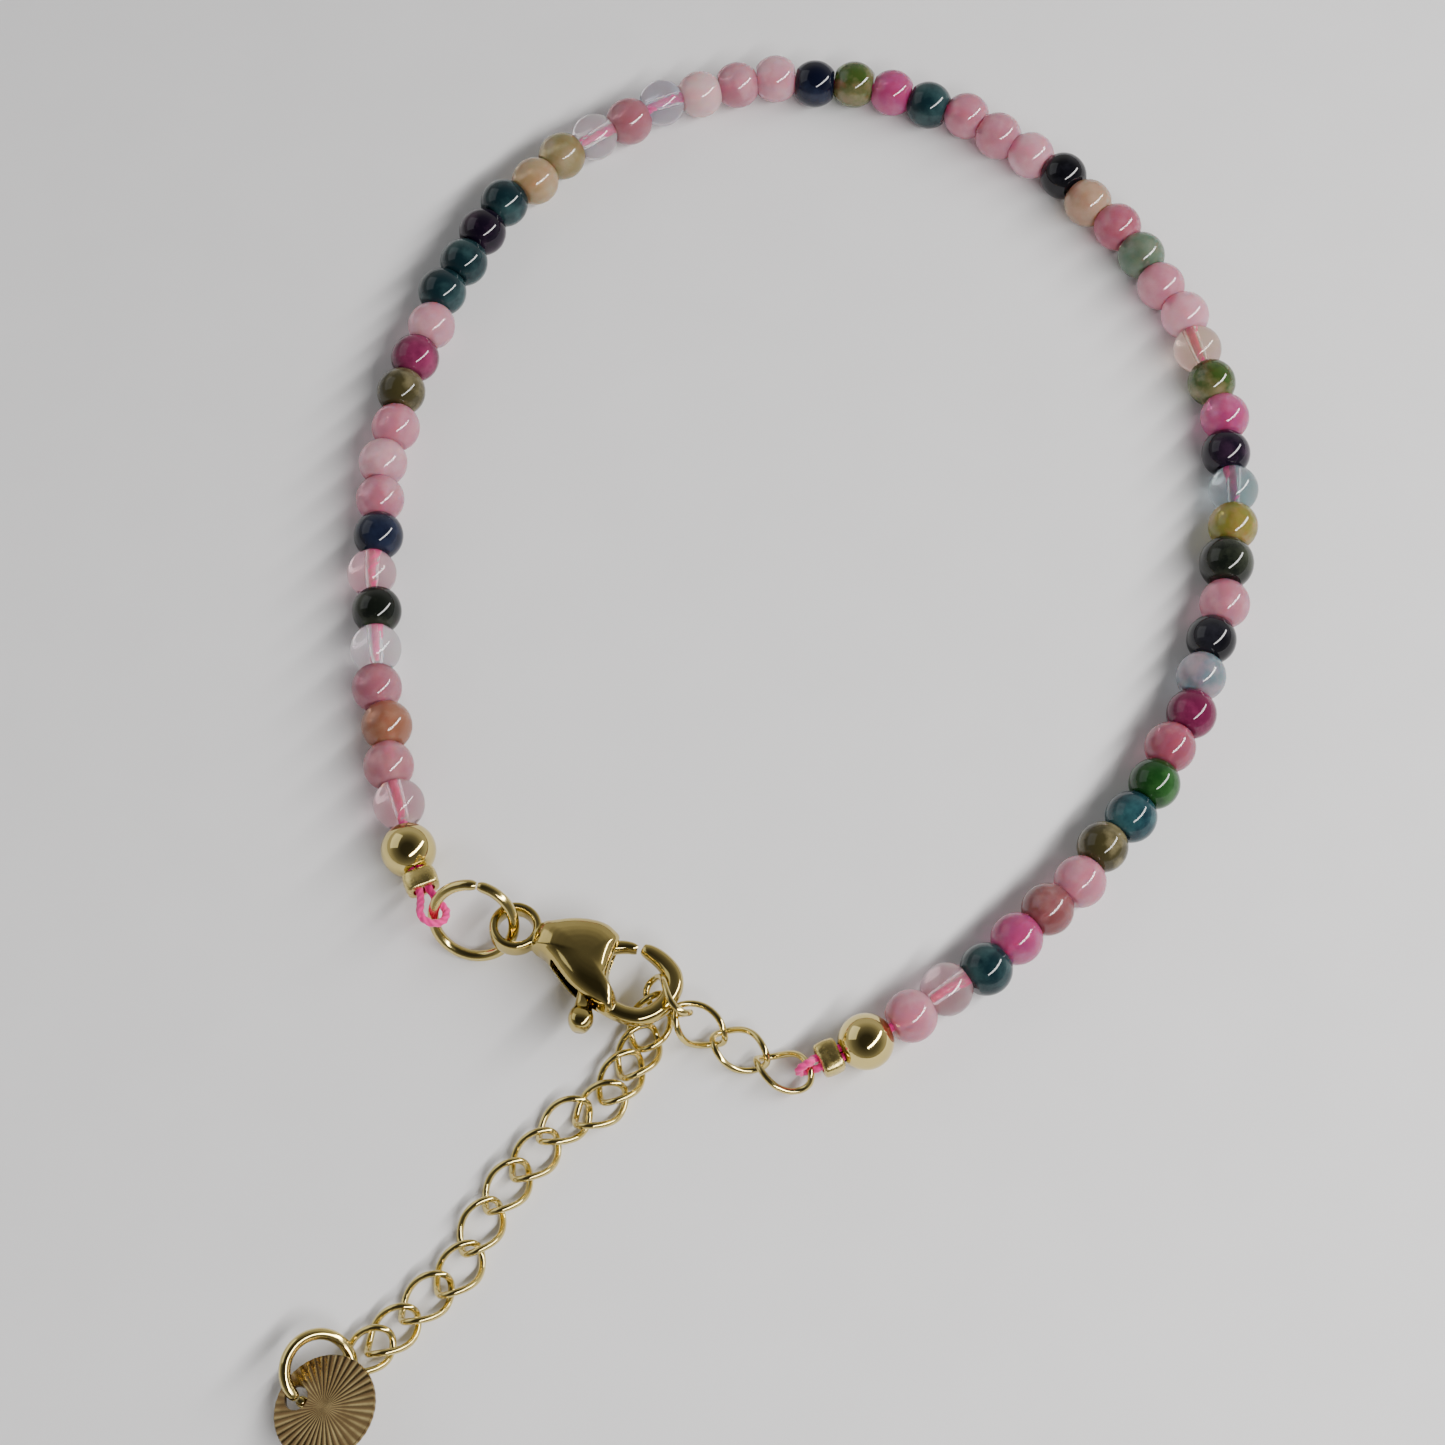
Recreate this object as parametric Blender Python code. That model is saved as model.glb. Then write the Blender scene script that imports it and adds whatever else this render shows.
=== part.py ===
"""A clasped bracelet of small round stone beads on thread, with a lobster clasp and an extension chain.

Metres, +Z up. The bracelet lies on the surface z = 0, with its clasp towards -Y, and the middle of
its footprint is the origin. The string of beads is one body with its thread. Everything else is a
piece of its own, linked as on the real bracelet.
"""

import math

import bpy
import bmesh
import numpy as np
from mathutils import Matrix

# The string of stones
STONE_COUNT = 60
STONE_DIAMETER = 0.00286
STONE_LENGTH = 0.00240
LARGE_STONE_DIAMETER = 0.00312
LARGE_STONE_PLACE = 46
THREAD_DIAMETER = 0.00045
THREAD_ROOM = 0.00010
STONE_SIDES = 10
STONE_RINGS = (22, 52, 90, 128, 158)

# The metal beads and crimps that close the string
METAL_BEAD_DIAMETER = 0.00300
METAL_BEAD_LENGTH = 0.00286
METAL_BEAD_BORE_ROOM = 0.00016
CRIMP_BORE_ROOM = 0.00010
CRIMP_LENGTH = 0.00115
CRIMP_WALL = 0.00030
CRIMP_PROFILE = ((-1, 0.0), (-1, 0.9), (0, 1.1), (1, 0.9), (1, 0.0))
CRIMP_FLATNESS = 1.35
PIECE_GAP = 0.00010
STRING_END_GAP = 0.00018
STRING_STUB = 0.00070
LOOP_SINK = 0.00030
LOOP_MOUTH = 0.00012
LOOP_WIRE_ROOM = 0.00018
LOOP_OPENING = 0.2
LEFT_LOOP_REACH = 0.00145
RIGHT_LOOP_REACH = 0.00060
RIGHT_LOOP_ANGLE = 38.0

# The split rings
CLASP_RING_DIAMETER = 0.00500
CLASP_RING_WIRE = 0.00060
CHARM_RING_DIAMETER = 0.00410
CHARM_RING_WIRE = 0.00060
CHARM_RING_ROOM = 0.00022
RING_SLIT = 0.00008

# The chain
LINK_LENGTH = 0.00350
LINK_WIDTH = 0.00245
LINK_WIRE = 0.00036
LINK_TWIST = math.radians(50)
LINK_POINTS = 12
LINK_ANGLES = np.linspace(0, 2 * math.pi, LINK_POINTS, endpoint=False)

# The clasp, measured in its own frame: the eye at the origin, x towards the hook, z out of its face
EYE_DIAMETER = 0.00274
EYE_BORE = 0.00190
EYE_THICKNESS = 0.00110
SHELL_LENGTH = 0.00540
SHELL_WIDTH = 0.00470
SHELL_THICKNESS = 0.00255
HOOK_WIDTH = 0.00085
HOOK_THICKNESS = 0.00105
SLOT_HEIGHT = 0.00105
LEVER_SIDE_GAP = 0.00010
NUB_HEIGHT = 0.00140
PIN_DIAMETER = 0.00060
PIN_SEAT = 0.00030
PIN_RUNNING_GAP = 0.00006

# The charm
CHARM_DIAMETER = 0.00540
CHARM_THICKNESS = 0.00026
CHARM_PLEATS = 20
CHARM_PLEAT_HEIGHT = 0.00012
CHARM_HOLE = 0.00125
CHARM_HOLE_OFFSET = 0.00165

# How the pieces lie. Headings are degrees from +X, as seen from above.
CLASP_PLACE = (-0.01096, -0.01241)
CLASP_HEADING = -20.8
CLASP_PITCH = 1.5
CLASP_ROLL = -6.0
EYE_RISE = 0.00082
CLASP_RING_HEADING = -12.0
CLASP_RING_TILT = 54.0
CLASP_RING_REACH = 0.00010
LEFT_END_HEADING = 112.0
RIGHT_END_HEADING = 24.0
CHARM_RING_BEARING = 187.0
CHARM_RING_HIGH_SIDE = 146.0
CHARM_RING_TILT = 30.0
CHARM_HOLE_BEARING = 236.0
CHARM_HEADING = -21.0
CHARM_TILT = 18.0

# The string's route, chosen by eye: each point is its place along the line between the string's two
# ends and its distance to the left of that line, both as shares of the line's length
STRAND_ROUTE = (
    (0.00, 0.00), (-0.20, 0.27), (-0.36, 0.56), (-0.47, 0.85), (-0.52, 1.14), (-0.52, 1.42),
    (-0.45, 1.65), (-0.32, 1.86), (-0.15, 2.02), (0.06, 2.11), (0.29, 2.14), (0.53, 2.10),
    (0.76, 2.00), (0.97, 1.85), (1.14, 1.65), (1.26, 1.40), (1.32, 1.12), (1.33, 0.82),
    (1.27, 0.53), (1.16, 0.25), (1.00, 0.00),
)

# The chain's links in order from the string's right end. Each step goes from the link before: its
# heading, the share of the full reach that it takes up, and how far the link is rolled.
LINKS_BEFORE_HOOK = (
    # heading, stretch, roll
    (333.5, 0.92, -8.0),
    (333.0, 0.87, 13.0),
    (323.0, 0.75, 24.0),
)
LINKS_AFTER_HOOK = (
    (223.0, 0.43, -16.0),
    (249.0, 0.64, 0.0),
    (238.0, 0.61, -4.0),
    (235.0, 0.66, 0.0),
    (205.0, 0.74, 0.0),
    (231.0, 0.84, 0.0),
    (230.0, 0.78, 0.0),
    (239.0, 0.88, 0.0),
    (245.0, 0.88, 0.0),
    (223.0, 0.80, 4.0),
    (226.0, 0.84, 8.0),
    (221.0, 0.60, 14.0),
)
HOOK_LINK_STATION = 0.53
HOOK_LINK_PULL = 0.0
HOOK_LINK_HEADING = -44.0
HOOK_LINK_PITCH = -25.0
HOOK_LINK_ROLL = 76.0
LINK_REST_HEIGHT = 0.00061
HOOK_LINK_HOLD_AHEAD = (0.80, 0.0)
HOOK_LINK_HOLD_BEHIND = (-0.40, -0.40)
FIRST_LINK_RISE = 0.00090

# The clasp's outlines, as shares of SHELL_LENGTH from the eye's wall and of SHELL_WIDTH
SHELL_OUTLINE = (
    (0.00, 0.13), (0.12, 0.24), (0.28, 0.34), (0.45, 0.40), (0.60, 0.41), (0.71, 0.37), (0.79, 0.30),
    (0.80, 0.13), (0.81, -0.04), (0.84, -0.19), (0.91, -0.32), (0.99, -0.42), (1.00, -0.58),
    (0.86, -0.57), (0.69, -0.53), (0.53, -0.47), (0.38, -0.37), (0.23, -0.25), (0.10, -0.17),
    (0.00, -0.13),
)
SHELL_LEVELS = ((-1.0, 0.60), (-0.84, 0.86), (-0.50, 1.0), (0.50, 1.0), (0.84, 0.86), (1.0, 0.60))
SLOT_OUTLINE = (
    (0.17, -0.80), (0.25, -0.21), (0.33, 0.04), (0.44, 0.23), (0.58, 0.31), (0.70, 0.31), (0.73, 0.52),
    (1.10, 0.52), (1.10, -0.20), (0.78, -0.20), (0.74, -0.32), (0.86, -0.48), (0.89, -0.80),
)
PIVOT = (0.58, -0.04)
LEVER_ROUTE = (
    # along, across, share of the arm's width, share of the nub's extra height
    (0.760, -0.880, 0.70, 0.5),
    (0.740, -0.780, 1.30, 1.0),
    (0.725, -0.690, 1.20, 0.5),
    (0.710, -0.600, 0.85, 0.0),
    (0.645, -0.340, 0.90, 0.0),
    (0.580, -0.040, 1.45, 0.0),
    (0.640, 0.110, 1.05, 0.0),
    (0.740, 0.190, 0.85, 0.0),
    (0.860, 0.255, 0.72, 0.0),
    (0.960, 0.275, 0.50, 0.0),
)
LEVER_ARM_WIDTH = 0.00085
HOOK_ROUTE = (
    # along, across, share of the hook's width, share of its thickness
    (0.84, -0.49, 0.95, 0.95),
    (0.99, -0.515, 1.00, 1.00),
    (1.13, -0.52, 1.00, 1.00),
    (1.26, -0.485, 1.00, 1.00),
    (1.36, -0.385, 0.95, 0.95),
    (1.43, -0.225, 0.95, 0.92),
    (1.45, -0.03, 0.95, 0.92),
    (1.40, 0.12, 0.95, 0.92),
    (1.30, 0.215, 0.90, 0.90),
    (1.17, 0.28, 0.80, 0.85),
    (1.04, 0.31, 0.55, 0.75),
)

# Each look is a colour, a roughness and a metallic value
GOLD_PLATE = ((0.80, 0.60, 0.25), 0.15, 1.0)
PINK_THREAD = ((0.92, 0.12, 0.45), 0.60, 0.0)
STONE = ((0.62, 0.38, 0.42), 0.15, 0.0)


def clear_scene():
    """Removes whatever the scene holds."""
    for thing in list(bpy.data.objects):
        bpy.data.objects.remove(thing, do_unlink=True)


def make_material(name, colour, roughness, metallic):
    """One plain Principled material."""
    material = bpy.data.materials.new(name)
    material.use_nodes = True
    shader = material.node_tree.nodes["Principled BSDF"]
    shader.inputs["Base Color"].default_value = (*colour, 1.0)
    shader.inputs["Roughness"].default_value = roughness
    shader.inputs["Metallic"].default_value = metallic
    return material


def add_object(name, data, look=None, parent=None):
    """Links the data to the scene under a plain name."""
    thing = bpy.data.objects.new(name, data)
    bpy.context.scene.collection.objects.link(thing)
    thing.parent = parent
    if look is not None:
        data.materials.append(make_material(name, *look))
    return thing


def add_empty(name, matrix, parent=None):
    """A frame for other pieces to hang on."""
    empty = bpy.data.objects.new(name, None)
    bpy.context.scene.collection.objects.link(empty)
    empty.parent = parent
    empty.matrix_local = Matrix([[float(value) for value in row] for row in matrix])
    return empty


def loft(name, rings, look, parent=None, closed=False):
    """One closed body through a stack of rings, each an equal number of points. An open stack is capped."""
    rings = np.asarray(rings, float)
    count, sides = rings.shape[:2]
    mesh = bmesh.new()
    corners = [[mesh.verts.new(point) for point in ring] for ring in rings]
    for i in range(count if closed else count - 1):
        lower, upper = corners[i], corners[(i + 1) % count]
        for j in range(sides):
            k = (j + 1) % sides
            mesh.faces.new((lower[j], lower[k], upper[k], upper[j]))
    if not closed:
        mesh.faces.new(corners[0][::-1])
        mesh.faces.new(corners[-1])
    bmesh.ops.recalc_face_normals(mesh, faces=mesh.faces)
    data = bpy.data.meshes.new(name)
    mesh.to_mesh(data)
    mesh.free()
    data.shade_smooth()
    data.set_sharp_from_angle(angle=math.radians(50))
    return add_object(name, data, look, parent)


def wire(name, points, diameter, look, closed=False, parent=None, sides=6):
    """A round wire along a line of points: a closed ring, or open with flat ends."""
    curve = bpy.data.curves.new(name, "CURVE")
    curve.dimensions = "3D"
    curve.bevel_depth = diameter / 2
    curve.bevel_resolution = (sides - 4) // 2
    curve.use_fill_caps = not closed
    spline = curve.splines.new("POLY")
    spline.points.add(len(points) - 1)
    for target, point in zip(spline.points, points):
        target.co = (*[float(value) for value in point], 1.0)
    spline.use_cyclic_u = closed
    spline.use_smooth = True
    return add_object(name, curve, look, parent)


def unit(vector):
    """The vector at length one."""
    vector = np.asarray(vector, float)
    return vector / np.linalg.norm(vector)


def heading(degrees):
    """The level unit vector at this heading."""
    angle = math.radians(degrees)
    return np.array([math.cos(angle), math.sin(angle), 0.0])


def turn(axis, degrees):
    """A turn about one of the three axes, as a 4 by 4 matrix."""
    return np.array(Matrix.Rotation(math.radians(degrees), 4, axis))


def pose(origin, *turns):
    """A 4 by 4 matrix: the turns, the last one first, and then the move to the origin."""
    matrix = np.eye(4)
    matrix[:3, 3] = origin
    for each in turns:
        matrix = matrix @ each
    return matrix


def moved(matrix, points):
    """The points carried by a 4 by 4 matrix."""
    points = np.atleast_2d(np.asarray(points, float))
    return points @ matrix[:3, :3].T + matrix[:3, 3]


def smooth_curve(points, samples):
    """A smooth curve through the points: each stretch is a cubic, with its slopes from the neighbours."""
    points = np.asarray(points, float)
    ahead = 2 * points[-1] - points[-2]
    before = 2 * points[0] - points[1]
    padded = np.vstack([before, points, ahead])
    share = np.linspace(0, 1, samples, endpoint=False)[:, None]
    stretches = []
    for a, b, c, d in zip(padded, padded[1:], padded[2:], padded[3:]):
        slope_b, slope_c = (c - a) / 2, (d - b) / 2
        cubic = 2 * b - 2 * c + slope_b + slope_c
        square = -3 * b + 3 * c - 2 * slope_b - slope_c
        stretches.append(((cubic * share + square) * share + slope_b) * share + b)
    return np.vstack([*stretches, points[-1]])


def lengths_along(line):
    """Each point's distance from the line's first point, measured along it."""
    return np.concatenate([[0.0], np.cumsum(np.linalg.norm(np.diff(line, axis=0), axis=1))])


def points_at(line, distances):
    """The places on the line at these distances from its start."""
    reach = lengths_along(line)
    return np.stack([np.interp(distances, reach, line[:, i]) for i in range(line.shape[1])], -1)


def circle(sides, first=90.0):
    """Cosines and sines around a circle, from the given angle on."""
    angles = np.radians(first) + np.linspace(0, 2 * math.pi, sides, endpoint=False)
    return np.cos(angles), np.sin(angles)


def rings_about(centre, direction, profile, sides):
    """Rings about an axis: the profile gives each one's place along the axis and its radius."""
    direction = unit(direction)
    side = unit(np.cross([0, 0, 1], direction))
    up = np.cross(direction, side)
    across, raised = circle(sides)
    return [
        centre + along * direction
        + radius * (across[:, None] * side + raised[:, None] * up)
        for along, radius in profile
    ]


def sweep(name, route, widths, heights, sides, look, parent):
    """A bar with a rounded section along a level route in the clasp's frame."""
    route = np.asarray(route, float)
    along = np.gradient(route, axis=0)
    across, raised = circle(sides, 360 / sides / 2)
    rings = []
    for centre, way, width, height in zip(route, along, widths, heights):
        side = unit([-way[1], way[0], 0])
        level = centre + (width / 2) * across[:, None] * side
        rings.append(level + (height / 2) * raised[:, None] * np.array([0, 0, 1.0]))
    return loft(name, rings, look, parent)


def stone_diameters():
    """Each stone's diameter, from the string's left end to its right end."""
    diameters = np.full(STONE_COUNT, STONE_DIAMETER)
    diameters[LARGE_STONE_PLACE - 1] = LARGE_STONE_DIAMETER
    return diameters


def bow(start, end, factor):
    """The string's route between its ends, with its distance from the line between them scaled."""
    line = end - start
    left = np.array([-line[1], line[0]])
    route = np.array(STRAND_ROUTE)
    return smooth_curve(start + route[:, :1] * line + factor * route[:, 1:] * left, 24)


def strand_line(start, end, length):
    """The string lies in a bow between its ends, widened until it is as long as its beads are."""
    low, high = 0.3, 3.0
    for _ in range(50):
        middle = (low + high) / 2
        if lengths_along(bow(start, end, middle))[-1] < length:
            low = middle
        else:
            high = middle
    return bow(start, end, (low + high) / 2)


def string_places():
    """Distances of the stones' middles and of the far metal bead from the near metal bead's middle."""
    lengths = STONE_LENGTH * stone_diameters() / STONE_DIAMETER
    first = METAL_BEAD_LENGTH / 2 + STRING_END_GAP
    middles = first + np.cumsum(lengths) - lengths / 2
    return middles, lengths, first + lengths.sum() + first


def make_bead_string(start, end, look, parent):
    """All the stones, fused with their thread: a tube that swells at each stone."""
    middles, lengths, total = string_places()
    line = strand_line(start[:2], end[:2], total)
    height = STONE_DIAMETER / 2
    reach = lengths_along(line)[-1]
    diameters = stone_diameters()
    thread = THREAD_DIAMETER

    def at(distance):
        return np.array([*points_at(line, [distance])[0], height])

    rings = []
    first_way = at(middles[0]) - at(0)
    first_face = at(middles[0] - lengths[0] / 2)
    rings += rings_about(first_face, first_way, [(-STRING_STUB, thread / 2), (0, thread / 2)], STONE_SIDES)
    for middle, length, diameter in zip(middles, lengths, diameters):
        way = at(middle + length / 2) - at(middle - length / 2)
        rise = np.array([0, 0, (diameter - STONE_DIAMETER) / 2])
        profile = [
            (-math.cos(math.radians(angle)) * length / 2, math.sin(math.radians(angle)) * diameter / 2)
            for angle in STONE_RINGS
        ]
        rings += rings_about(at(middle) + rise, way, profile, STONE_SIDES)
        if middle < middles[-1]:
            rings += rings_about(at(middle + length / 2) + rise / 2, way, [(0, thread / 2)], STONE_SIDES)
    last_way = at(reach) - at(middles[-1])
    last_face = at(middles[-1] + lengths[-1] / 2)
    rings += rings_about(last_face, last_way, [(0, thread / 2), (STRING_STUB, thread / 2)], STONE_SIDES)
    return loft("bead_string", rings, look, parent)


def doubled_thread_half_width():
    """Half the width of the two strands side by side."""
    return THREAD_DIAMETER + THREAD_ROOM / 2


def make_metal_bead(name, centre, way, look, parent):
    """A round bead with a bore wide enough for the doubled thread."""
    bore = doubled_thread_half_width() + METAL_BEAD_BORE_ROOM
    radius = METAL_BEAD_DIAMETER / 2
    half = METAL_BEAD_LENGTH / 2
    steps = np.radians([28, 45, 67.5, 90, 112.5, 135, 152])
    outer = [(-math.cos(step) * radius, math.sin(step) * radius) for step in steps]
    profile = [(-half, bore), *outer, (half, bore)]
    return loft(name, rings_about(centre, way, profile, 14), look, parent, closed=True)


def make_crimp(name, centre, way, look, parent):
    """A short tube pressed flat round the two strands, a little wider at its middle."""
    room_across = doubled_thread_half_width() + CRIMP_BORE_ROOM
    room_up = THREAD_DIAMETER / 2 + CRIMP_BORE_ROOM
    half = CRIMP_LENGTH / 2
    direction = unit(way)
    side = unit(np.cross([0, 0, 1], direction))
    up = np.cross(direction, side)
    across, raised = circle(16)
    rings = []
    flattened = np.clip(CRIMP_FLATNESS * raised, -1, 1)
    for along, wall in CRIMP_PROFILE:
        wide = room_across + wall * CRIMP_WALL
        tall = room_up + wall * CRIMP_WALL
        section = wide * across[:, None] * side + tall * flattened[:, None] * up
        rings.append(centre + along * half * direction + section)
    return loft(name, rings, look, parent, closed=True)


def make_thread_loop(name, bead, held, held_way, held_diameter, look, parent):
    """A hairpin of thread from inside the metal bead, through the crimp and round a piece of wire.

    Its two strands leave the crimp side by side and open, turning as they go, to pass on both sides
    of the wire, which runs along held_way.
    """
    strand = (THREAD_DIAMETER + THREAD_ROOM) / 2
    bend = held_diameter / 2 + LOOP_WIRE_ROOM + THREAD_DIAMETER / 2
    outward = unit(held - bead)
    side = unit(np.cross([0, 0, 1], outward))
    held_side = unit(np.cross(held_way, outward))
    held_side = held_side if held_side @ side > 0 else -held_side
    mouth = METAL_BEAD_LENGTH / 2 + PIECE_GAP + CRIMP_LENGTH + LOOP_MOUTH
    legs = [
        [
            bead + LOOP_SINK * outward + sign * strand * side,
            bead + mouth * outward + sign * strand * side,
            held - LOOP_OPENING * bend * outward + sign * bend * held_side,
        ]
        for sign in (1, -1)
    ]
    arc = [
        held + bend * (math.cos(angle) * held_side + math.sin(angle) * outward)
        for angle in np.linspace(0.1, math.pi - 0.1, 7)
    ]
    return wire(name, [*legs[0], *arc, *legs[1][::-1]], THREAD_DIAMETER, look, parent=parent)


def ring_points(matrix, diameter, wire_diameter, count=22):
    """A split ring's middle line: a circle with a narrow slit at its own +y."""
    radius = (diameter - wire_diameter) / 2
    half_slit = RING_SLIT / radius / 2
    angles = np.linspace(math.pi / 2 + half_slit, 2.5 * math.pi - half_slit, count)
    return moved(matrix, np.stack([radius * np.cos(angles), radius * np.sin(angles), 0 * angles], -1))


def link_points(matrix, angles=LINK_ANGLES):
    """A twisted link's middle line: an oval in its own xy plane, turned about x by its place along x."""
    half_length = (LINK_LENGTH - LINK_WIRE) / 2
    half_width = (LINK_WIDTH - LINK_WIRE) / 2
    along, across = np.cos(angles), half_width * np.sin(angles)
    twist = LINK_TWIST * along
    return moved(matrix, np.stack([half_length * along, across * np.cos(twist), across * np.sin(twist)], -1))


def make_chain_link(number, matrix, look, parent):
    """One oval of twisted wire."""
    points = link_points(matrix)
    return wire(f"chain_link_{number:02d}", points, LINK_WIRE, look, closed=True, parent=parent)


def shell_point(along, across):
    """A place in the clasp's frame from shares of the shell's length and width."""
    start = (EYE_DIAMETER + EYE_BORE) / 4
    return np.array([start + along * SHELL_LENGTH, across * SHELL_WIDTH, 0.0])


def hidden(helper):
    """Marks a solid that only serves a Boolean."""
    helper.hide_render = True
    helper.display_type = "WIRE"
    return helper


def prism(name, outline, bottom, top, parent):
    """A hidden straight-sided solid of the given outline."""
    return hidden(loft(name, [outline + [0, 0, bottom], outline + [0, 0, top]], None, parent))


def disc_outline(centre, diameter, sides):
    """A circle's corners about a centre, in the level plane."""
    cosines, sines = circle(sides, 0)
    return centre + diameter / 2 * np.stack([cosines, sines, 0 * sines], -1)


def combine(target, other, operation):
    """An exact Boolean of the target with a helper solid."""
    modifier = target.modifiers.new(other.name, "BOOLEAN")
    modifier.operation = operation
    modifier.object = other
    modifier.solver = "EXACT"


def clasp_pose():
    """The clasp's frame as it lies, with its eye held above the surface by the ring."""
    height = SHELL_THICKNESS / 2 + EYE_RISE
    turns = (turn("Z", CLASP_HEADING), turn("Y", CLASP_PITCH), turn("X", CLASP_ROLL))
    return pose([*CLASP_PLACE, height], *turns)


def make_clasp_body(look, frame):
    """The shell with its slot, and the eye and hook that are one with it."""
    outline = np.array([shell_point(*point) for point in SHELL_OUTLINE])
    middle = outline.mean(axis=0)
    half = SHELL_THICKNESS / 2
    levels = [middle + share * (outline - middle) + [0, 0, level * half] for level, share in SHELL_LEVELS]
    body = loft("clasp_body", levels, look, frame)

    slot_outline = np.array([shell_point(*point) for point in SLOT_OUTLINE])
    slot = prism("slot_cutter", slot_outline, -SLOT_HEIGHT / 2, SLOT_HEIGHT / 2, frame)
    combine(body, slot, "DIFFERENCE")

    stations = np.array([shell_point(*row[:2]) for row in HOOK_ROUTE])
    widths = [row[2] * HOOK_WIDTH for row in HOOK_ROUTE]
    heights = [row[3] * HOOK_THICKNESS for row in HOOK_ROUTE]
    hook = hidden(sweep("hook_body", stations, widths, heights, 10, None, frame))
    combine(body, hook, "UNION")

    eye = prism("eye_body", disc_outline(0, EYE_DIAMETER, 20), -EYE_THICKNESS / 2, EYE_THICKNESS / 2, frame)
    combine(body, eye, "UNION")
    bore = prism("eye_bore_cutter", disc_outline(0, EYE_BORE, 20), -SHELL_THICKNESS, SHELL_THICKNESS, frame)
    combine(body, bore, "DIFFERENCE")

    seat = SLOT_HEIGHT / 2 + PIN_SEAT + PIECE_GAP / 2
    seat_outline = disc_outline(shell_point(*PIVOT), PIN_DIAMETER + 2 * PIN_RUNNING_GAP, 12)
    pin_seat = prism("pin_seat_cutter", seat_outline, -seat, seat, frame)
    combine(body, pin_seat, "DIFFERENCE")
    return body


def make_clasp_lever(look, frame):
    """The nub, arm and gate finger, with the joint's axis at its own origin."""
    pivot = shell_point(*PIVOT)
    stations = np.array([shell_point(*row[:2]) - pivot for row in LEVER_ROUTE])
    widths = [row[2] * LEVER_ARM_WIDTH for row in LEVER_ROUTE]
    inner = SLOT_HEIGHT - 2 * LEVER_SIDE_GAP
    heights = [inner + row[3] * (NUB_HEIGHT - inner) for row in LEVER_ROUTE]
    lever = sweep("clasp_lever", stations, widths, heights, 8, look, frame)
    lever.location = pivot
    bore_diameter = PIN_DIAMETER + 2 * PIN_RUNNING_GAP
    bore_outline = disc_outline(pivot, bore_diameter, 12)
    bore = prism("lever_bore_cutter", bore_outline, -SLOT_HEIGHT, SLOT_HEIGHT, frame)
    combine(lever, bore, "DIFFERENCE")
    return lever


def make_clasp_pin(look, frame):
    """The lever's pin, held in a blind seat on each side of the slot."""
    half = SLOT_HEIGHT / 2 + PIN_SEAT
    outline = disc_outline(shell_point(*PIVOT), PIN_DIAMETER, 12)
    return loft("clasp_pin", [outline + [0, 0, -half], outline + [0, 0, half]], look, frame)


def make_charm_disc(matrix, look, parent):
    """A thin round tag with pleats that rise towards its edge, and a hole near its edge."""
    steps = 2 * CHARM_PLEATS
    cosines, sines = circle(steps, 0)
    fold = np.where(np.arange(steps) % 2 == 0, 0.5, -0.5) * CHARM_PLEAT_HEIGHT
    radius = CHARM_DIAMETER / 2
    half = CHARM_THICKNESS / 2

    def ring(share, level):
        height = level + share * fold
        return np.stack([share * radius * cosines, share * radius * sines, height], -1)

    shares = (0.10, 0.45, 0.80, 1.0)
    rings = [ring(share, half) for share in shares]
    rings += [ring(share, -half) for share in shares[::-1]]
    rings = [moved(matrix, each) for each in rings]
    disc = loft("charm_disc", rings, look, parent)
    hole = disc_outline([-CHARM_HOLE_OFFSET, 0, 0], CHARM_HOLE, 14)
    depth = CHARM_THICKNESS + CHARM_PLEAT_HEIGHT
    levels = [moved(matrix, hole + [0, 0, level]) for level in (-depth, depth)]
    cutter = hidden(loft("charm_hole_cutter", levels, None, parent))
    combine(disc, cutter, "DIFFERENCE")
    return disc


def settled(matrix):
    """A link's pose, raised or lowered until the link just touches the surface."""
    matrix = matrix.copy()
    matrix[2, 3] += LINK_WIRE / 2 - link_points(matrix)[:, 2].min()
    return matrix


def chain_run(start, hold, rows, end_rise=0.0):
    """The poses of the links that follow the hook's link, each one's length towards its two neighbours."""
    reach = LINK_LENGTH - 2 * LINK_WIRE
    places = [np.array(start)]
    for way, stretch, _ in rows:
        places.append(places[-1] + stretch * reach * heading(way))
    places.append(2 * places[-1] - places[-2])
    for place in places:
        place[2] = LINK_REST_HEIGHT
    places[0] = hold
    places[-1][2] += end_rise
    return [
        settled(facing(places[i], places[i + 2], places[i + 1], rows[i][2])) for i in range(len(rows))
    ]


def in_link(matrix, along, across):
    """A place in a link's hole, as shares of half its inner length and width."""
    half_length, half_width = LINK_LENGTH / 2 - LINK_WIRE, LINK_WIDTH / 2 - LINK_WIRE
    return moved(matrix, [[along * half_length, across * half_width, 0]])[0]


def around_ring(matrix, radius, bearing, high_side):
    """The point of a tilted ring's middle line at this bearing from its centre, measured in its own plane."""
    angle = math.radians(bearing - high_side)
    return moved(matrix, [[radius * math.cos(angle), radius * math.sin(angle), 0]])[0]


def facing(before, after, origin, roll):
    """A link's pose at the origin given: its length points from one neighbour to the other."""
    way = after - before
    degrees = math.degrees(math.atan2(way[1], way[0]))
    rise = -math.degrees(math.asin(way[2] / np.linalg.norm(way)))
    return pose(origin, turn("Z", degrees), turn("Y", rise), turn("X", roll))


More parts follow.
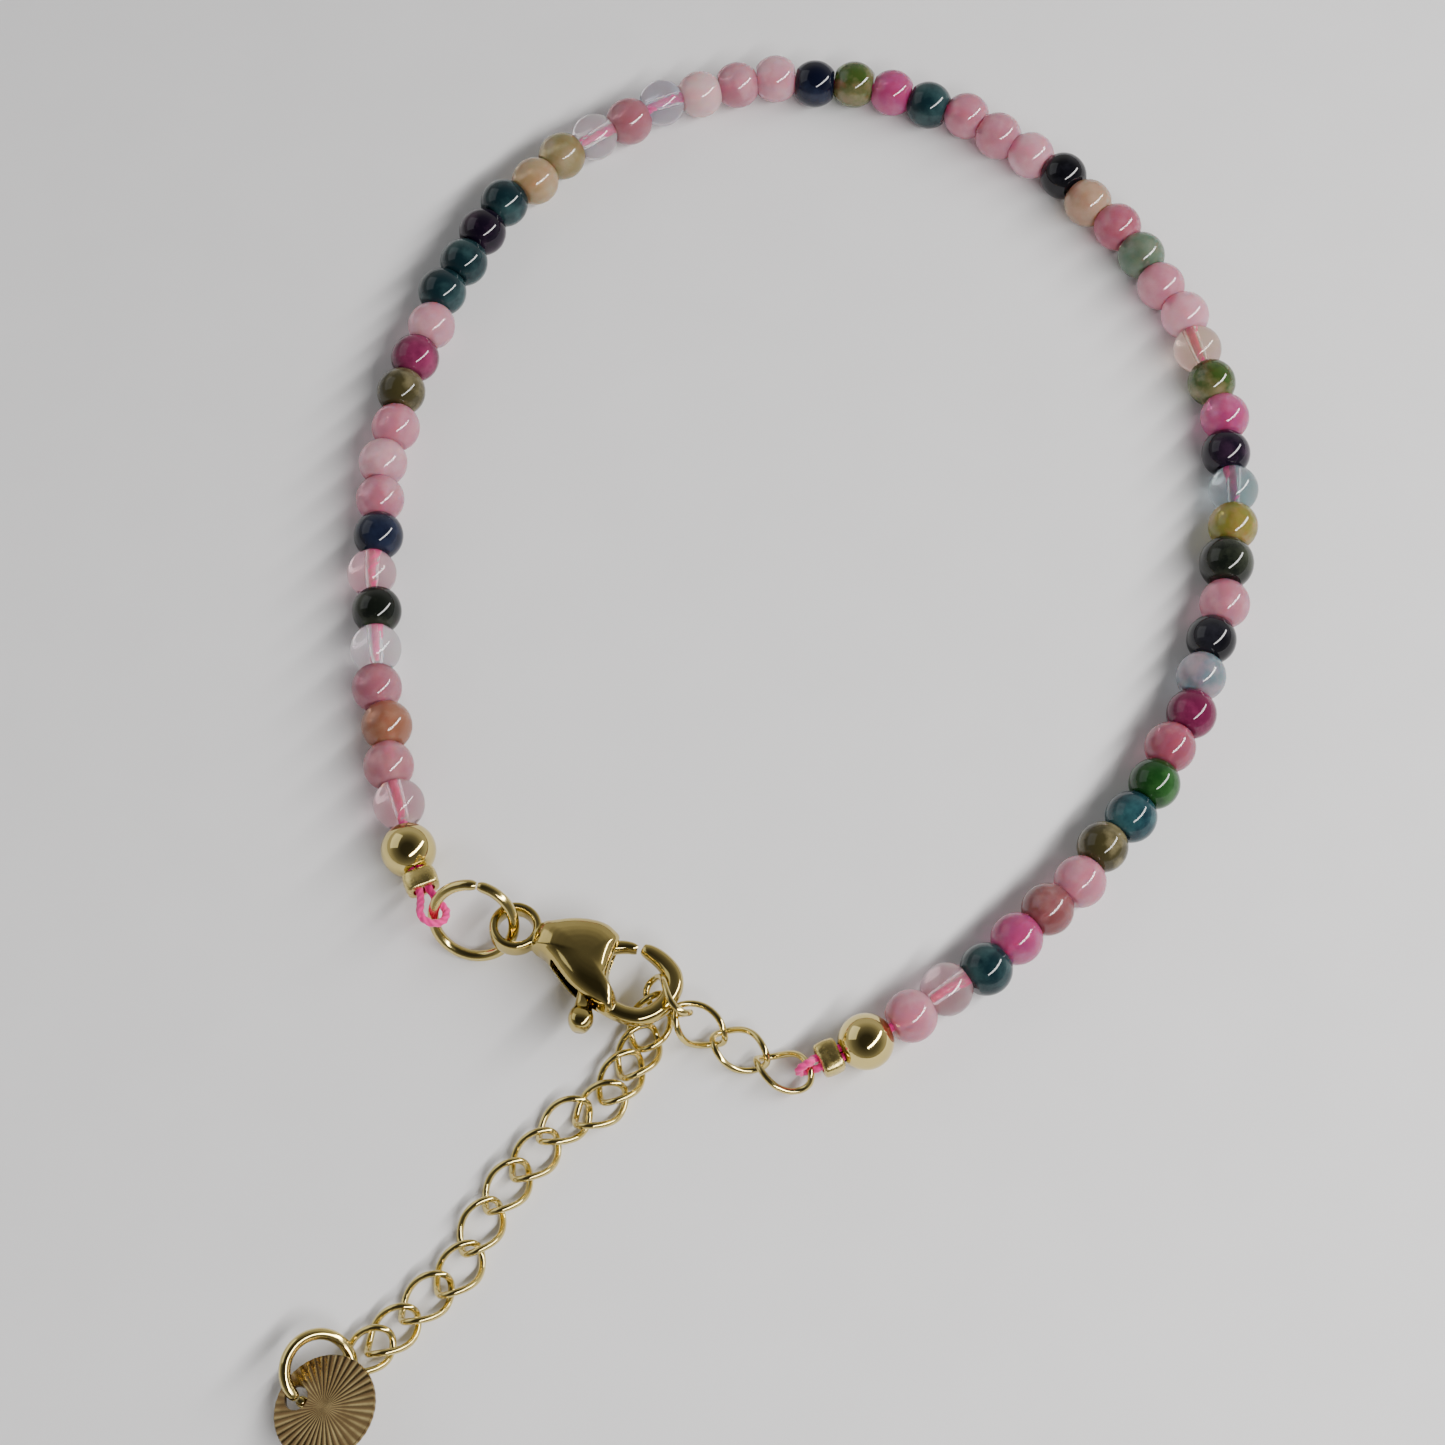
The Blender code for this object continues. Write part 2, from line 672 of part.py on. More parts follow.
def main():
    clear_scene()
    root = add_empty("bracelet_frame", np.eye(4))

    clasp = clasp_pose()
    clasp_frame = add_empty("clasp_frame", clasp, root)
    make_clasp_body(GOLD_PLATE, clasp_frame)
    make_clasp_lever(GOLD_PLATE, clasp_frame)
    make_clasp_pin(GOLD_PLATE, clasp_frame)

    # The clasp's ring leans in the eye with its far side up
    ring_radius = (CLASP_RING_DIAMETER - CLASP_RING_WIRE) / 2
    to_eye = heading(CLASP_RING_HEADING)
    ring_centre = np.array(clasp[:3, 3]) - (ring_radius + CLASP_RING_REACH) * to_eye
    ring_centre[2] = ring_radius * math.sin(math.radians(CLASP_RING_TILT)) + CLASP_RING_WIRE / 2
    ring_pose = pose(ring_centre, turn("Z", CLASP_RING_HEADING), turn("X", CLASP_RING_TILT))
    wire("clasp_ring", ring_points(ring_pose, CLASP_RING_DIAMETER, CLASP_RING_WIRE), CLASP_RING_WIRE, GOLD_PLATE,
         parent=root)

    # The string's left end, from the ring outwards
    end_reach = METAL_BEAD_LENGTH / 2 + PIECE_GAP + CRIMP_LENGTH
    left_held = ring_centre - ring_radius * to_eye
    left_bead = left_held + (end_reach + LEFT_LOOP_REACH) * heading(LEFT_END_HEADING)
    left_bead[2] = METAL_BEAD_DIAMETER / 2

    # The chain, from the link on the hook outwards
    station = np.array([shell_point(*row[:2]) for row in HOOK_ROUTE])
    on_hook = points_at(station, [HOOK_LINK_STATION * lengths_along(station)[-1]])
    hook_origin = moved(clasp, on_hook)[0]
    hook_turns = (turn("Z", HOOK_LINK_HEADING), turn("Y", HOOK_LINK_PITCH), turn("X", HOOK_LINK_ROLL))
    hook_link = pose(hook_origin, *hook_turns)
    hook_link[:3, 3] += HOOK_LINK_PULL * hook_link[:3, 0]
    hook_middle = hook_link[:3, 3]
    ahead, behind = (in_link(hook_link, *share) for share in (HOOK_LINK_HOLD_AHEAD, HOOK_LINK_HOLD_BEHIND))
    front = chain_run(hook_middle, ahead, LINKS_BEFORE_HOOK[::-1], FIRST_LINK_RISE)
    ordered = [*front[::-1], hook_link, *chain_run(hook_middle, behind, LINKS_AFTER_HOOK)]
    for number, matrix in enumerate(ordered, 1):
        make_chain_link(number, matrix, GOLD_PLATE, root)

    # The string's right end, from the first link outwards
    hold_angle = math.radians(RIGHT_LOOP_ANGLE)
    right_held, past_held = link_points(ordered[0], np.array([hold_angle, hold_angle + 0.01]))
    right_bead = right_held + (end_reach + RIGHT_LOOP_REACH) * heading(RIGHT_END_HEADING)
    right_bead[2] = METAL_BEAD_DIAMETER / 2

    make_bead_string(left_bead, right_bead, STONE, root)
    for side, bead, held, held_way, held_wire in (
        ("left", left_bead, left_held, ring_pose[:3, 1], CLASP_RING_WIRE),
        ("right", right_bead, right_held, unit(past_held - right_held), LINK_WIRE),
    ):
        way = unit(held - bead)
        make_metal_bead(f"gold_bead_{side}", bead, way, GOLD_PLATE, root)
        crimp = bead + (METAL_BEAD_LENGTH / 2 + PIECE_GAP + CRIMP_LENGTH / 2) * way
        make_crimp(f"crimp_{side}", crimp, way, GOLD_PLATE, root)
        make_thread_loop(f"thread_loop_{side}", bead, held, held_way, held_wire, PINK_THREAD, root)

    # The charm's ring in the last link, and the charm on the ring
    last = ordered[-1]
    charm_radius = (CHARM_RING_DIAMETER - CHARM_RING_WIRE) / 2
    hold = LINK_LENGTH / 2 - LINK_WIRE - CHARM_RING_ROOM - CHARM_RING_WIRE / 2
    ring_turns = (turn("Z", CHARM_RING_HIGH_SIDE), turn("Y", -CHARM_RING_TILT))
    charm_ring = pose([0, 0, 0], *ring_turns)
    held = around_ring(charm_ring, charm_radius, CHARM_RING_BEARING + 180, CHARM_RING_HIGH_SIDE)
    charm_ring[:3, 3] = moved(last, [[hold, 0, 0]])[0] - held
    charm_ring[2, 3] = charm_radius * math.sin(math.radians(CHARM_RING_TILT)) + CHARM_RING_WIRE / 2
    wire("charm_ring", ring_points(charm_ring, CHARM_RING_DIAMETER, CHARM_RING_WIRE), CHARM_RING_WIRE, GOLD_PLATE,
         parent=root)
    in_hole = around_ring(charm_ring, charm_radius, CHARM_HOLE_BEARING, CHARM_RING_HIGH_SIDE)
    disc = pose(in_hole, turn("Z", CHARM_HEADING), turn("Y", -CHARM_TILT))
    disc[:3, 3] = moved(disc, [[CHARM_HOLE_OFFSET, 0, 0]])[0]
    make_charm_disc(disc, GOLD_PLATE, root)

    centre_footprint(root)


def centre_footprint(root):
    """Moves the whole bracelet so that it lies on z = 0 with the middle of its footprint at the origin."""
    bpy.context.view_layer.update()
    graph = bpy.context.evaluated_depsgraph_get()
    corners = []
    for thing in bpy.context.scene.objects:
        if thing.type not in ("MESH", "CURVE") or thing.hide_render:
            continue
        evaluated = thing.evaluated_get(graph)
        mesh = evaluated.to_mesh()
        points = np.empty(len(mesh.vertices) * 3, np.float32)
        mesh.vertices.foreach_get("co", points)
        evaluated.to_mesh_clear()
        points = moved(np.array(evaluated.matrix_world), points.reshape(-1, 3))
        corners += [points.min(axis=0), points.max(axis=0)]
    low, high = np.min(corners, axis=0), np.max(corners, axis=0)
    root.location = (-(low[0] + high[0]) / 2, -(low[1] + high[1]) / 2, -low[2])


main()
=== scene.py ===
"""Dresses the beaded bracelet: polished mixed stones on pink thread, with gold-plated findings.

Every piece is a surface worked out with numpy in metres, in the CAD model's own frame. Places come
from the same sizes and routes as the CAD model's.
"""

import math

import bpy
import numpy as np
from mathutils import Matrix


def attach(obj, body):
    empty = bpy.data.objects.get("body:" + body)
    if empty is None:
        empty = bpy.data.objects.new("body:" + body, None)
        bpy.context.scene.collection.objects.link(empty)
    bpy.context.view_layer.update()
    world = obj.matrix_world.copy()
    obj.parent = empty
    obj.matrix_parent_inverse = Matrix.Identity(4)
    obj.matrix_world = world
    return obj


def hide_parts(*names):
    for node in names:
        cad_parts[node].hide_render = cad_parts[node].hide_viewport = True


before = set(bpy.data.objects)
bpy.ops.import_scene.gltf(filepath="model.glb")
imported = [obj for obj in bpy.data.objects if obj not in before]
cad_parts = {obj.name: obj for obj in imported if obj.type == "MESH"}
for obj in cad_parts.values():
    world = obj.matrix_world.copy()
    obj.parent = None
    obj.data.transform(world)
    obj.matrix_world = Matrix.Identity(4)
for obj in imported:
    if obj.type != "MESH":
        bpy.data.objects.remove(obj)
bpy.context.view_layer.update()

bl_info = {
    "name": "Beaded bracelet",
    "version": (1, 0, 0),
    "blender": (4, 5, 0),
    "location": "3D View > Sidebar > Bracelet",
    "description": "Builds a stone bead bracelet with a lobster clasp, an extension chain and a charm",
    "category": "Add Mesh",
}

# How the pieces lie, as in the CAD model. Headings are degrees from +X, as seen from above.
LOOP_SHIFT = (-0.0041148, -0.0022864)
STRING_END_GAP = 0.00018
PIECE_GAP = 0.00010
CRIMP_LENGTH = 0.00115
METAL_BEAD_LENGTH = 0.00286
LEFT_LOOP_REACH = 0.00145
RIGHT_LOOP_REACH = 0.00060
RIGHT_LOOP_ANGLE = 38.0
LOOP_SINK = 0.00030
LOOP_MOUTH = 0.00012
LOOP_WIRE_ROOM = 0.00018
LOOP_OPENING = 0.2
LOOP_BEND_START = 0.25
THREAD_ROOM = 0.00010
LINK_TWIST = math.radians(50)
LINK_POINTS = 12
CLASP_PLACE = (-0.01096, -0.01241)
CLASP_HEADING = -20.8
CLASP_PITCH = 1.5
CLASP_ROLL = -6.0
EYE_RISE = 0.00082
CLASP_RING_HEADING = -12.0
CLASP_RING_TILT = 54.0
CLASP_RING_REACH = 0.00010
LEFT_END_HEADING = 112.0
RIGHT_END_HEADING = 24.0
CHARM_RING_BEARING = 187.0
CHARM_RING_HIGH_SIDE = 146.0
CHARM_RING_TILT = 30.0
CHARM_RING_ROOM = 0.00022
CHARM_HOLE_BEARING = 236.0
CHARM_HEADING = -21.0
CHARM_TILT = 18.0
RING_SLIT = 0.00008

# The string's route, as shares of the line between its ends: along it, and to its left
STRAND_ROUTE = (
    (0.00, 0.00), (-0.20, 0.27), (-0.36, 0.56), (-0.47, 0.85), (-0.52, 1.14), (-0.52, 1.42),
    (-0.45, 1.65), (-0.32, 1.86), (-0.15, 2.02), (0.06, 2.11), (0.29, 2.14), (0.53, 2.10),
    (0.76, 2.00), (0.97, 1.85), (1.14, 1.65), (1.26, 1.40), (1.32, 1.12), (1.33, 0.82),
    (1.27, 0.53), (1.16, 0.25), (1.00, 0.00),
)

# The chain's steps from link to link: heading, stretch, roll
LINKS_BEFORE_HOOK = ((333.5, 0.92, -8.0), (333.0, 0.87, 13.0), (323.0, 0.75, 24.0))
LINKS_AFTER_HOOK = (
    (223.0, 0.43, -16.0), (249.0, 0.64, 0.0), (238.0, 0.61, -4.0), (235.0, 0.66, 0.0),
    (205.0, 0.74, 0.0), (231.0, 0.84, 0.0), (230.0, 0.78, 0.0), (239.0, 0.88, 0.0),
    (245.0, 0.88, 0.0), (223.0, 0.80, 4.0), (226.0, 0.84, 8.0), (221.0, 0.60, 14.0),
)
HOOK_LINK_STATION = 0.53
HOOK_LINK_HEADING = -44.0
HOOK_LINK_PITCH = -25.0
HOOK_LINK_ROLL = 76.0
HOOK_LINK_HOLD_AHEAD = (0.80, 0.0)
HOOK_LINK_HOLD_BEHIND = (-0.40, -0.40)
LINK_REST_HEIGHT = 0.00061
FIRST_LINK_RISE = 0.00090

# Every drilled ball: the share of its radius that its edges are eased by, and the share of its bore's
# full width inside
BALL_EASE = 0.03
BORE_INSIDE = 0.98

# The metal beads' bore past the two strands, and the crimps' walls: at their rims, where the tube
# begins, how much it swells to its middle, how far its ends are rounded, the room inside, and the
# share of the tube's length between its rims
BEAD_BORE_ROOM = 0.00006
CRIMP_RIM = 0.00017
CRIMP_WALL = 0.00028
CRIMP_SWELL = 0.00006
CRIMP_ROUNDING = 0.00003
CRIMP_ROOM = 0.00010
CRIMP_STRAIGHT = 0.94
CRIMP_SQUARENESS = 3.4

# The millimetres in a metre, because solids are cut and joined in millimetres. The clasp is cast in
# cubes of this size and softened this many times. Its shell is a pillow of this power, closed flat at
# this share of its height, and half the pin's hole is this long
MM = 1000
CASTING_CUBE = 0.045
CASTING_SOFTENING = 9
SHELL_FULLNESS = 2.9
SHELL_TOP = 0.998
PIN_HOLE_REACH = 0.9

# Where the photograph was taken from: the camera's rise, its distance from the place that it looks
# at, that place's height, and the picture's focal length as a share of its width
CAMERA_RISE = 64.8
CAMERA_DISTANCE = 0.159
CAMERA_AIM = 0.0014
CAMERA_FOCUS = 2.0
SENSOR = 36.0

# The clasp's outlines, as shares of the shell's length from the eye's wall and of its width
SHELL_OUTLINE = (
    (0.00, 0.13), (0.12, 0.24), (0.28, 0.34), (0.45, 0.40), (0.60, 0.41), (0.71, 0.37), (0.79, 0.30),
    (0.80, 0.13), (0.81, -0.04), (0.84, -0.19), (0.91, -0.32), (0.99, -0.42), (1.00, -0.58),
    (0.86, -0.57), (0.69, -0.53), (0.53, -0.47), (0.38, -0.37), (0.23, -0.25), (0.10, -0.17),
    (0.00, -0.13),
)
SLOT_OUTLINE = (
    (0.17, -0.80), (0.25, -0.21), (0.33, 0.04), (0.44, 0.23), (0.58, 0.31), (0.70, 0.31), (0.73, 0.52),
    (1.10, 0.52), (1.10, -0.20), (0.78, -0.20), (0.74, -0.32), (0.86, -0.48), (0.89, -0.80),
)
PIVOT = (0.58, -0.04)
LEVER_ROUTE = (
    # along, across, share of the arm's width, share of the nub's extra height
    (0.765, -0.885, 1.00, 0.5), (0.745, -0.790, 1.55, 1.0), (0.728, -0.700, 1.50, 0.7),
    (0.710, -0.600, 1.10, 0.1), (0.645, -0.340, 0.90, 0.0), (0.580, -0.040, 1.45, 0.0),
    (0.640, 0.110, 1.05, 0.0), (0.740, 0.190, 0.85, 0.0), (0.860, 0.255, 0.72, 0.0),
    (0.975, 0.278, 0.55, 0.0),
)
HOOK_ROUTE = (
    # along, across, share of the hook's width, share of its thickness
    (0.84, -0.49, 0.95, 0.95), (0.99, -0.515, 1.00, 1.00), (1.13, -0.52, 1.00, 1.00),
    (1.26, -0.485, 1.00, 1.00), (1.36, -0.385, 1.00, 0.95), (1.43, -0.225, 1.05, 0.92),
    (1.45, -0.03, 1.10, 0.92), (1.40, 0.12, 1.10, 0.92), (1.30, 0.215, 1.05, 0.90),
    (1.17, 0.28, 0.95, 0.85), (1.02, 0.312, 0.75, 0.75),
)

# The stones that the string is made of: the main colour, the colour of its veins, and the body that
# it is cut from, which is clear, milky or deep
STONES = {
    "clear rose": ((0.90, 0.68, 0.72), (0.84, 0.50, 0.58), "clear"),
    "clear white": ((0.92, 0.88, 0.91), (0.86, 0.70, 0.76), "clear"),
    "clear grey": ((0.74, 0.76, 0.84), (0.80, 0.62, 0.70), "clear"),
    "clear sand": ((0.84, 0.68, 0.56), (0.80, 0.48, 0.52), "clear"),
    "pale aqua": ((0.36, 0.50, 0.52), (0.56, 0.46, 0.52), "clear"),
    "pink": ((0.62, 0.25, 0.34), (0.76, 0.43, 0.50), "milky"),
    "light pink": ((0.73, 0.37, 0.46), (0.84, 0.56, 0.62), "milky"),
    "pale peach": ((0.82, 0.56, 0.58), (0.86, 0.66, 0.66), "milky"),
    "dusty rose": ((0.48, 0.18, 0.23), (0.62, 0.32, 0.36), "milky"),
    "mauve": ((0.46, 0.17, 0.23), (0.60, 0.30, 0.36), "milky"),
    "rose": ((0.46, 0.12, 0.19), (0.60, 0.26, 0.33), "milky"),
    "hot pink": ((0.50, 0.08, 0.24), (0.62, 0.20, 0.38), "milky"),
    "beige": ((0.46, 0.29, 0.19), (0.60, 0.44, 0.32), "milky"),
    "aqua grey": ((0.20, 0.27, 0.31), (0.50, 0.38, 0.44), "milky"),
    "ochre": ((0.48, 0.34, 0.18), (0.60, 0.48, 0.32), "milky"),
    "olive sand": ((0.34, 0.28, 0.12), (0.52, 0.44, 0.28), "milky"),
    "yellow olive": ((0.28, 0.27, 0.045), (0.52, 0.32, 0.14), "milky"),
    "leaf": ((0.060, 0.115, 0.020), (0.38, 0.30, 0.16), "milky"),
    "grey green": ((0.13, 0.21, 0.14), (0.28, 0.32, 0.24), "milky"),
    "amber brown": ((0.40, 0.17, 0.10), (0.52, 0.27, 0.18), "milky"),
    "mauve brown": ((0.30, 0.10, 0.11), (0.46, 0.24, 0.24), "milky"),
    "magenta": ((0.10, 0.008, 0.038), (0.22, 0.03, 0.09), "deep"),
    "plum": ((0.006, 0.003, 0.010), (0.034, 0.016, 0.034), "deep"),
    "olive brown": ((0.042, 0.036, 0.014), (0.20, 0.17, 0.09), "deep"),
    "moss black": ((0.006, 0.008, 0.006), (0.034, 0.040, 0.026), "deep"),
    "teal": ((0.006, 0.024, 0.034), (0.03, 0.09, 0.10), "deep"),
    "dark teal": ((0.005, 0.017, 0.022), (0.028, 0.065, 0.068), "deep"),
    "green": ((0.006, 0.036, 0.007), (0.03, 0.10, 0.025), "deep"),
    "navy": ((0.003, 0.004, 0.013), (0.014, 0.020, 0.044), "deep"),
    "near black": ((0.003, 0.003, 0.005), (0.016, 0.016, 0.022), "deep"),
}
STRING_ORDER = (
    "clear rose", "dusty rose", "amber brown", "mauve", "clear white", "moss black", "clear rose",
    "navy", "pink", "light pink", "pink", "olive brown", "magenta", "light pink", "dark teal",
    "dark teal", "plum", "dark teal", "ochre", "olive sand", "clear white", "dusty rose", "clear grey",
    "pale peach", "pink", "light pink", "navy", "leaf", "hot pink", "dark teal", "pink", "pink",
    "light pink", "near black", "beige", "rose", "grey green", "pink", "light pink", "clear sand",
    "leaf", "hot pink", "plum", "pale aqua", "yellow olive", "moss black", "pink", "near black",
    "aqua grey", "magenta", "rose", "green", "teal", "olive brown", "pink", "mauve brown", "hot pink",
    "dark teal", "clear rose", "pink",
)
LARGE_STONE_PLACE = 46

# How unevenly the stones are cut and strung: the sine's step from stone to stone, the shares of the
# full diameter and length, the turns in degrees to the side and upwards, and the change of tone
STAGGER_STEP = 2.35
STONE_SHARES = (0.975, 1.0)
STONE_LENGTH_SHARE = 0.998
STONE_TURN = 3.5
STONE_LIFT = 2.5
STONE_TINT = 0.08

# The thread: its share of the stones' bore, the depth of the furrows between its plies, and how far
# it reaches from the last stone towards the metal bead
THREAD_IN_BORE = 0.46
FURROW_DEPTH = 0.10
THREAD_PAST_STONES = 0.62


def size(name, description, default):
    """A property that holds a length in metres."""
    return bpy.props.FloatProperty(
        name=name, description=description, default=default, unit="LENGTH", precision=5)


def colour(name, description, default):
    """A property that holds a colour."""
    return bpy.props.FloatVectorProperty(
        name=name, description=description, default=default, subtype="COLOR", size=3, min=0, max=1)


class BraceletSizes(bpy.types.PropertyGroup):
    """Sizes of the bracelet's pieces."""

    stone_diameter: size("Stone diameter", "Across a stone, square to the thread", 0.00286)
    large_stone_diameter: size("Large stone diameter", "Across the one larger stone", 0.00312)
    stone_length: size("Stone length", "Along the thread", 0.0024)
    stone_bore: size("Stone bore", "Across the hole drilled through a stone", 0.00056)
    stone_stagger: size("Stone stagger", "How far the stones lie to the sides of their line", 0.00017)
    thread_diameter: size("Thread diameter", "Across one twisted thread", 0.00045)
    thread_pitch: size("Thread twist", "Length of one full turn of the thread's plies", 0.0013)
    metal_bead_diameter: size("Metal bead diameter", "Across the round beads that close the string", 0.003)
    clasp_ring_diameter: size("Clasp ring diameter", "Outside of the split ring in the clasp's eye", 0.005)
    charm_ring_diameter: size("Charm ring diameter", "Outside of the split ring in the charm", 0.0041)
    ring_wire: size("Ring wire", "Across the wire of both split rings", 0.0006)
    link_length: size("Link length", "Outside length of a chain link", 0.0035)
    link_width: size("Link width", "Outside width of a chain link", 0.00245)
    link_wire: size("Link wire", "Across the wire of a chain link", 0.00036)
    eye_diameter: size("Clasp eye diameter", "Outside of the clasp's eye", 0.00284)
    eye_bore: size("Clasp eye bore", "Hole of the clasp's eye", 0.0018)
    eye_thickness: size("Clasp eye thickness", "Through the clasp's eye", 0.0011)
    shell_length: size("Clasp shell length", "Along the clasp's shell", 0.0054)
    shell_width: size("Clasp shell width", "Across the clasp's shell", 0.0047)
    shell_thickness: size("Clasp shell thickness", "Through the clasp's shell", 0.00255)
    hook_width: size("Hook width", "Across the clasp's hook", 0.00095)
    hook_thickness: size("Hook thickness", "Through the clasp's hook", 0.00105)
    slot_height: size("Slot height", "Height of the slot that the lever works in", 0.00105)
    lever_width: size("Lever width", "Across the lever's arm", 0.00085)
    lever_height: size("Lever height", "Through the lever's arm", 0.00085)
    nub_height: size("Nub height", "Through the lever's thumb nub", 0.0014)
    pin_bore: size("Pin bore", "Hole round the lever's pin", 0.00072)
    charm_diameter: size("Charm diameter", "Across the charm", 0.0054)
    charm_thickness: size("Charm thickness", "Through the charm's sheet", 0.00026)
    charm_pleat_height: size("Charm pleat height", "From a pleat's furrow to its crest at the rim", 0.00005)
    charm_pleats: bpy.props.IntProperty(
        name="Charm pleats", description="How many pleats fan out over the charm", default=40, min=8)
    charm_hole: size("Charm hole", "Hole that the ring passes through", 0.00125)
    charm_hole_offset: size("Charm hole offset", "From the charm's middle to its hole's middle", 0.00165)


class BraceletColours(bpy.types.PropertyGroup):
    """Colours of the bracelet's finishes and of the stage. The charm's crest and furrow colours are painted
    highlight and painted shade, and the thread's furrow colour is painted shade.
    """

    gold: colour("Gold plate", "Colour of the polished plating", (0.70, 0.57, 0.22))
    # The deeper tone shows in slow clouds over the plating, and the clasp is pushed towards it as painted
    # shade.
    gold_shade: colour("Gold shade", "Deeper tone in the plating", (0.46, 0.36, 0.12))
    # Painted highlight: the charm's pleats are painted bright along their crests.
    charm_crest_highlight: colour("Charm crest", "Colour of the charm along its pleats' crests", (0.58, 0.46, 0.21))
    # Painted shade: the charm is painted dark brown between its crests.
    charm_furrow_shade: colour("Charm furrow", "Colour of the charm between its crests", (0.15, 0.095, 0.042))
    thread: colour("Thread", "Colour of the thread's crests", (0.92, 0.008, 0.30))
    # Painted shade: the thread is painted darker between its plies.
    thread_furrow_shade: colour("Thread furrow", "Colour between the thread's plies", (0.52, 0.002, 0.13))
    floor: colour("Floor", "Colour of the floor", (0.80, 0.80, 0.815))


# Places


def unit(vectors):
    """Each vector divided by its own length."""
    vectors = np.asarray(vectors, float)
    return vectors / np.linalg.norm(vectors, axis=-1, keepdims=True)


def heading(degrees):
    """The level unit vector: cosine along X and sine along Y."""
    angle = math.radians(degrees)
    return np.array([math.cos(angle), math.sin(angle), 0.0])


def turn(axis, degrees):
    """A turn about one of the three axes, as a 4 by 4 matrix."""
    return np.array(Matrix.Rotation(math.radians(degrees), 4, axis))


def pose(origin, *turns):
    """A 4 by 4 matrix: the turns, the last one first, and then the move to the origin."""
    matrix = np.eye(4)
    matrix[:3, 3] = origin
    for each in turns:
        matrix = matrix @ each
    return matrix


def moved(matrix, points):
    """The points times the matrix's turn, plus its move."""
    return np.asarray(points, float) @ matrix[:3, :3].T + matrix[:3, 3]


def smooth_curve(points, samples, closed=False):
    """Cubics from point to point, with each slope half the step between the two neighbours."""
    points = np.asarray(points, float)
    if closed:
        padded = np.vstack([points[-1:], points, points[:2]])
    else:
        padded = np.vstack([2 * points[:1] - points[1:2], points, 2 * points[-1:] - points[-2:-1]])
    share = np.linspace(0, 1, samples, endpoint=False)[None, :, None]
    a, b, c, d = (padded[i:len(padded) - 3 + i, None] for i in range(4))
    slope_b, slope_c = (c - a) / 2, (d - b) / 2
    cubic = 2 * b - 2 * c + slope_b + slope_c
    square = -3 * b + 3 * c - 2 * slope_b - slope_c
    line = (((cubic * share + square) * share + slope_b) * share + b).reshape(-1, points.shape[1])
    return line if closed else np.vstack([line, points[-1]])


def lengths_along(line):
    """Each point's distance from the line's first point, measured along it."""
    return np.concatenate([[0.0], np.cumsum(np.linalg.norm(np.diff(line, axis=0), axis=1))])


def points_at(line, distances):
    """The places on the line at these distances from its start."""
    reach = lengths_along(line)
    return np.stack([np.interp(distances, reach, line[:, i]) for i in range(line.shape[1])], -1)


def bow(start, end, factor):
    """The string's route between its ends, with its distance from the line between them scaled."""
    line = end - start
    left = np.array([-line[1], line[0]])
    route = np.array(STRAND_ROUTE)
    return smooth_curve(start + route[:, :1] * line + factor * route[:, 1:] * left, 24)


def strand_line(start, end, length):
    """The bow between the ends, widened by halving steps until it is as long as its beads are."""
    low, high = 0.3, 3.0
    for _ in range(50):
        middle = (low + high) / 2
        if lengths_along(bow(start, end, middle))[-1] < length:
            low = middle
        else:
            high = middle
    return bow(start, end, (low + high) / 2)


def shell_points(sizes, rows):
    """Places in the clasp's frame. Each row starts with its shares of the shell's length, which
    begins at the middle of the eye's wall, and of the shell's width."""
    along, across = np.array(rows)[:, :2].T
    start = (sizes.eye_diameter + sizes.eye_bore) / 4
    return np.stack([start + along * sizes.shell_length, across * sizes.shell_width, 0 * along], -1)


def clasp_pose(sizes):
    """The clasp's frame as it lies: the eye's middle, x towards the hook and z out of its face."""
    turns = (turn("Z", CLASP_HEADING), turn("Y", CLASP_PITCH), turn("X", CLASP_ROLL))
    place = np.add(CLASP_PLACE, LOOP_SHIFT)
    return pose([*place, sizes.shell_thickness / 2 + EYE_RISE], *turns)


def clasp_ring_pose(sizes):
    """The clasp's ring: its middle left of the eye, leaning with its far side up."""
    radius = (sizes.clasp_ring_diameter - sizes.ring_wire) / 2
    centre = clasp_pose(sizes)[:3, 3] - (radius + CLASP_RING_REACH) * heading(CLASP_RING_HEADING)
    centre[2] = radius * math.sin(math.radians(CLASP_RING_TILT)) + sizes.ring_wire / 2
    return pose(centre, turn("Z", CLASP_RING_HEADING), turn("X", CLASP_RING_TILT)), radius


def link_line(sizes, matrix, angles):
    """A twisted oval: cosine along, sine across, turned about its length by the twist times the cosine."""
    half_length = (sizes.link_length - sizes.link_wire) / 2
    half_width = (sizes.link_width - sizes.link_wire) / 2
    along, across = np.cos(angles), half_width * np.sin(angles)
    twist = LINK_TWIST * along
    oval = np.stack([half_length * along, across * np.cos(twist), across * np.sin(twist)], -1)
    return moved(matrix, oval)


def settled(sizes, matrix):
    """A link's pose, raised or lowered until the link just touches the surface."""
    matrix = matrix.copy()
    matrix[2, 3] += sizes.link_wire / 2 - link_line(sizes, matrix, angles_round(LINK_POINTS))[:, 2].min()
    return matrix


def facing(before, after, origin, roll):
    """A link's pose at the origin given: its length points from one neighbour to the other."""
    way = after - before
    degrees = math.degrees(math.atan2(way[1], way[0]))
    rise = -math.degrees(math.asin(way[2] / np.linalg.norm(way)))
    return pose(origin, turn("Z", degrees), turn("Y", rise), turn("X", roll))


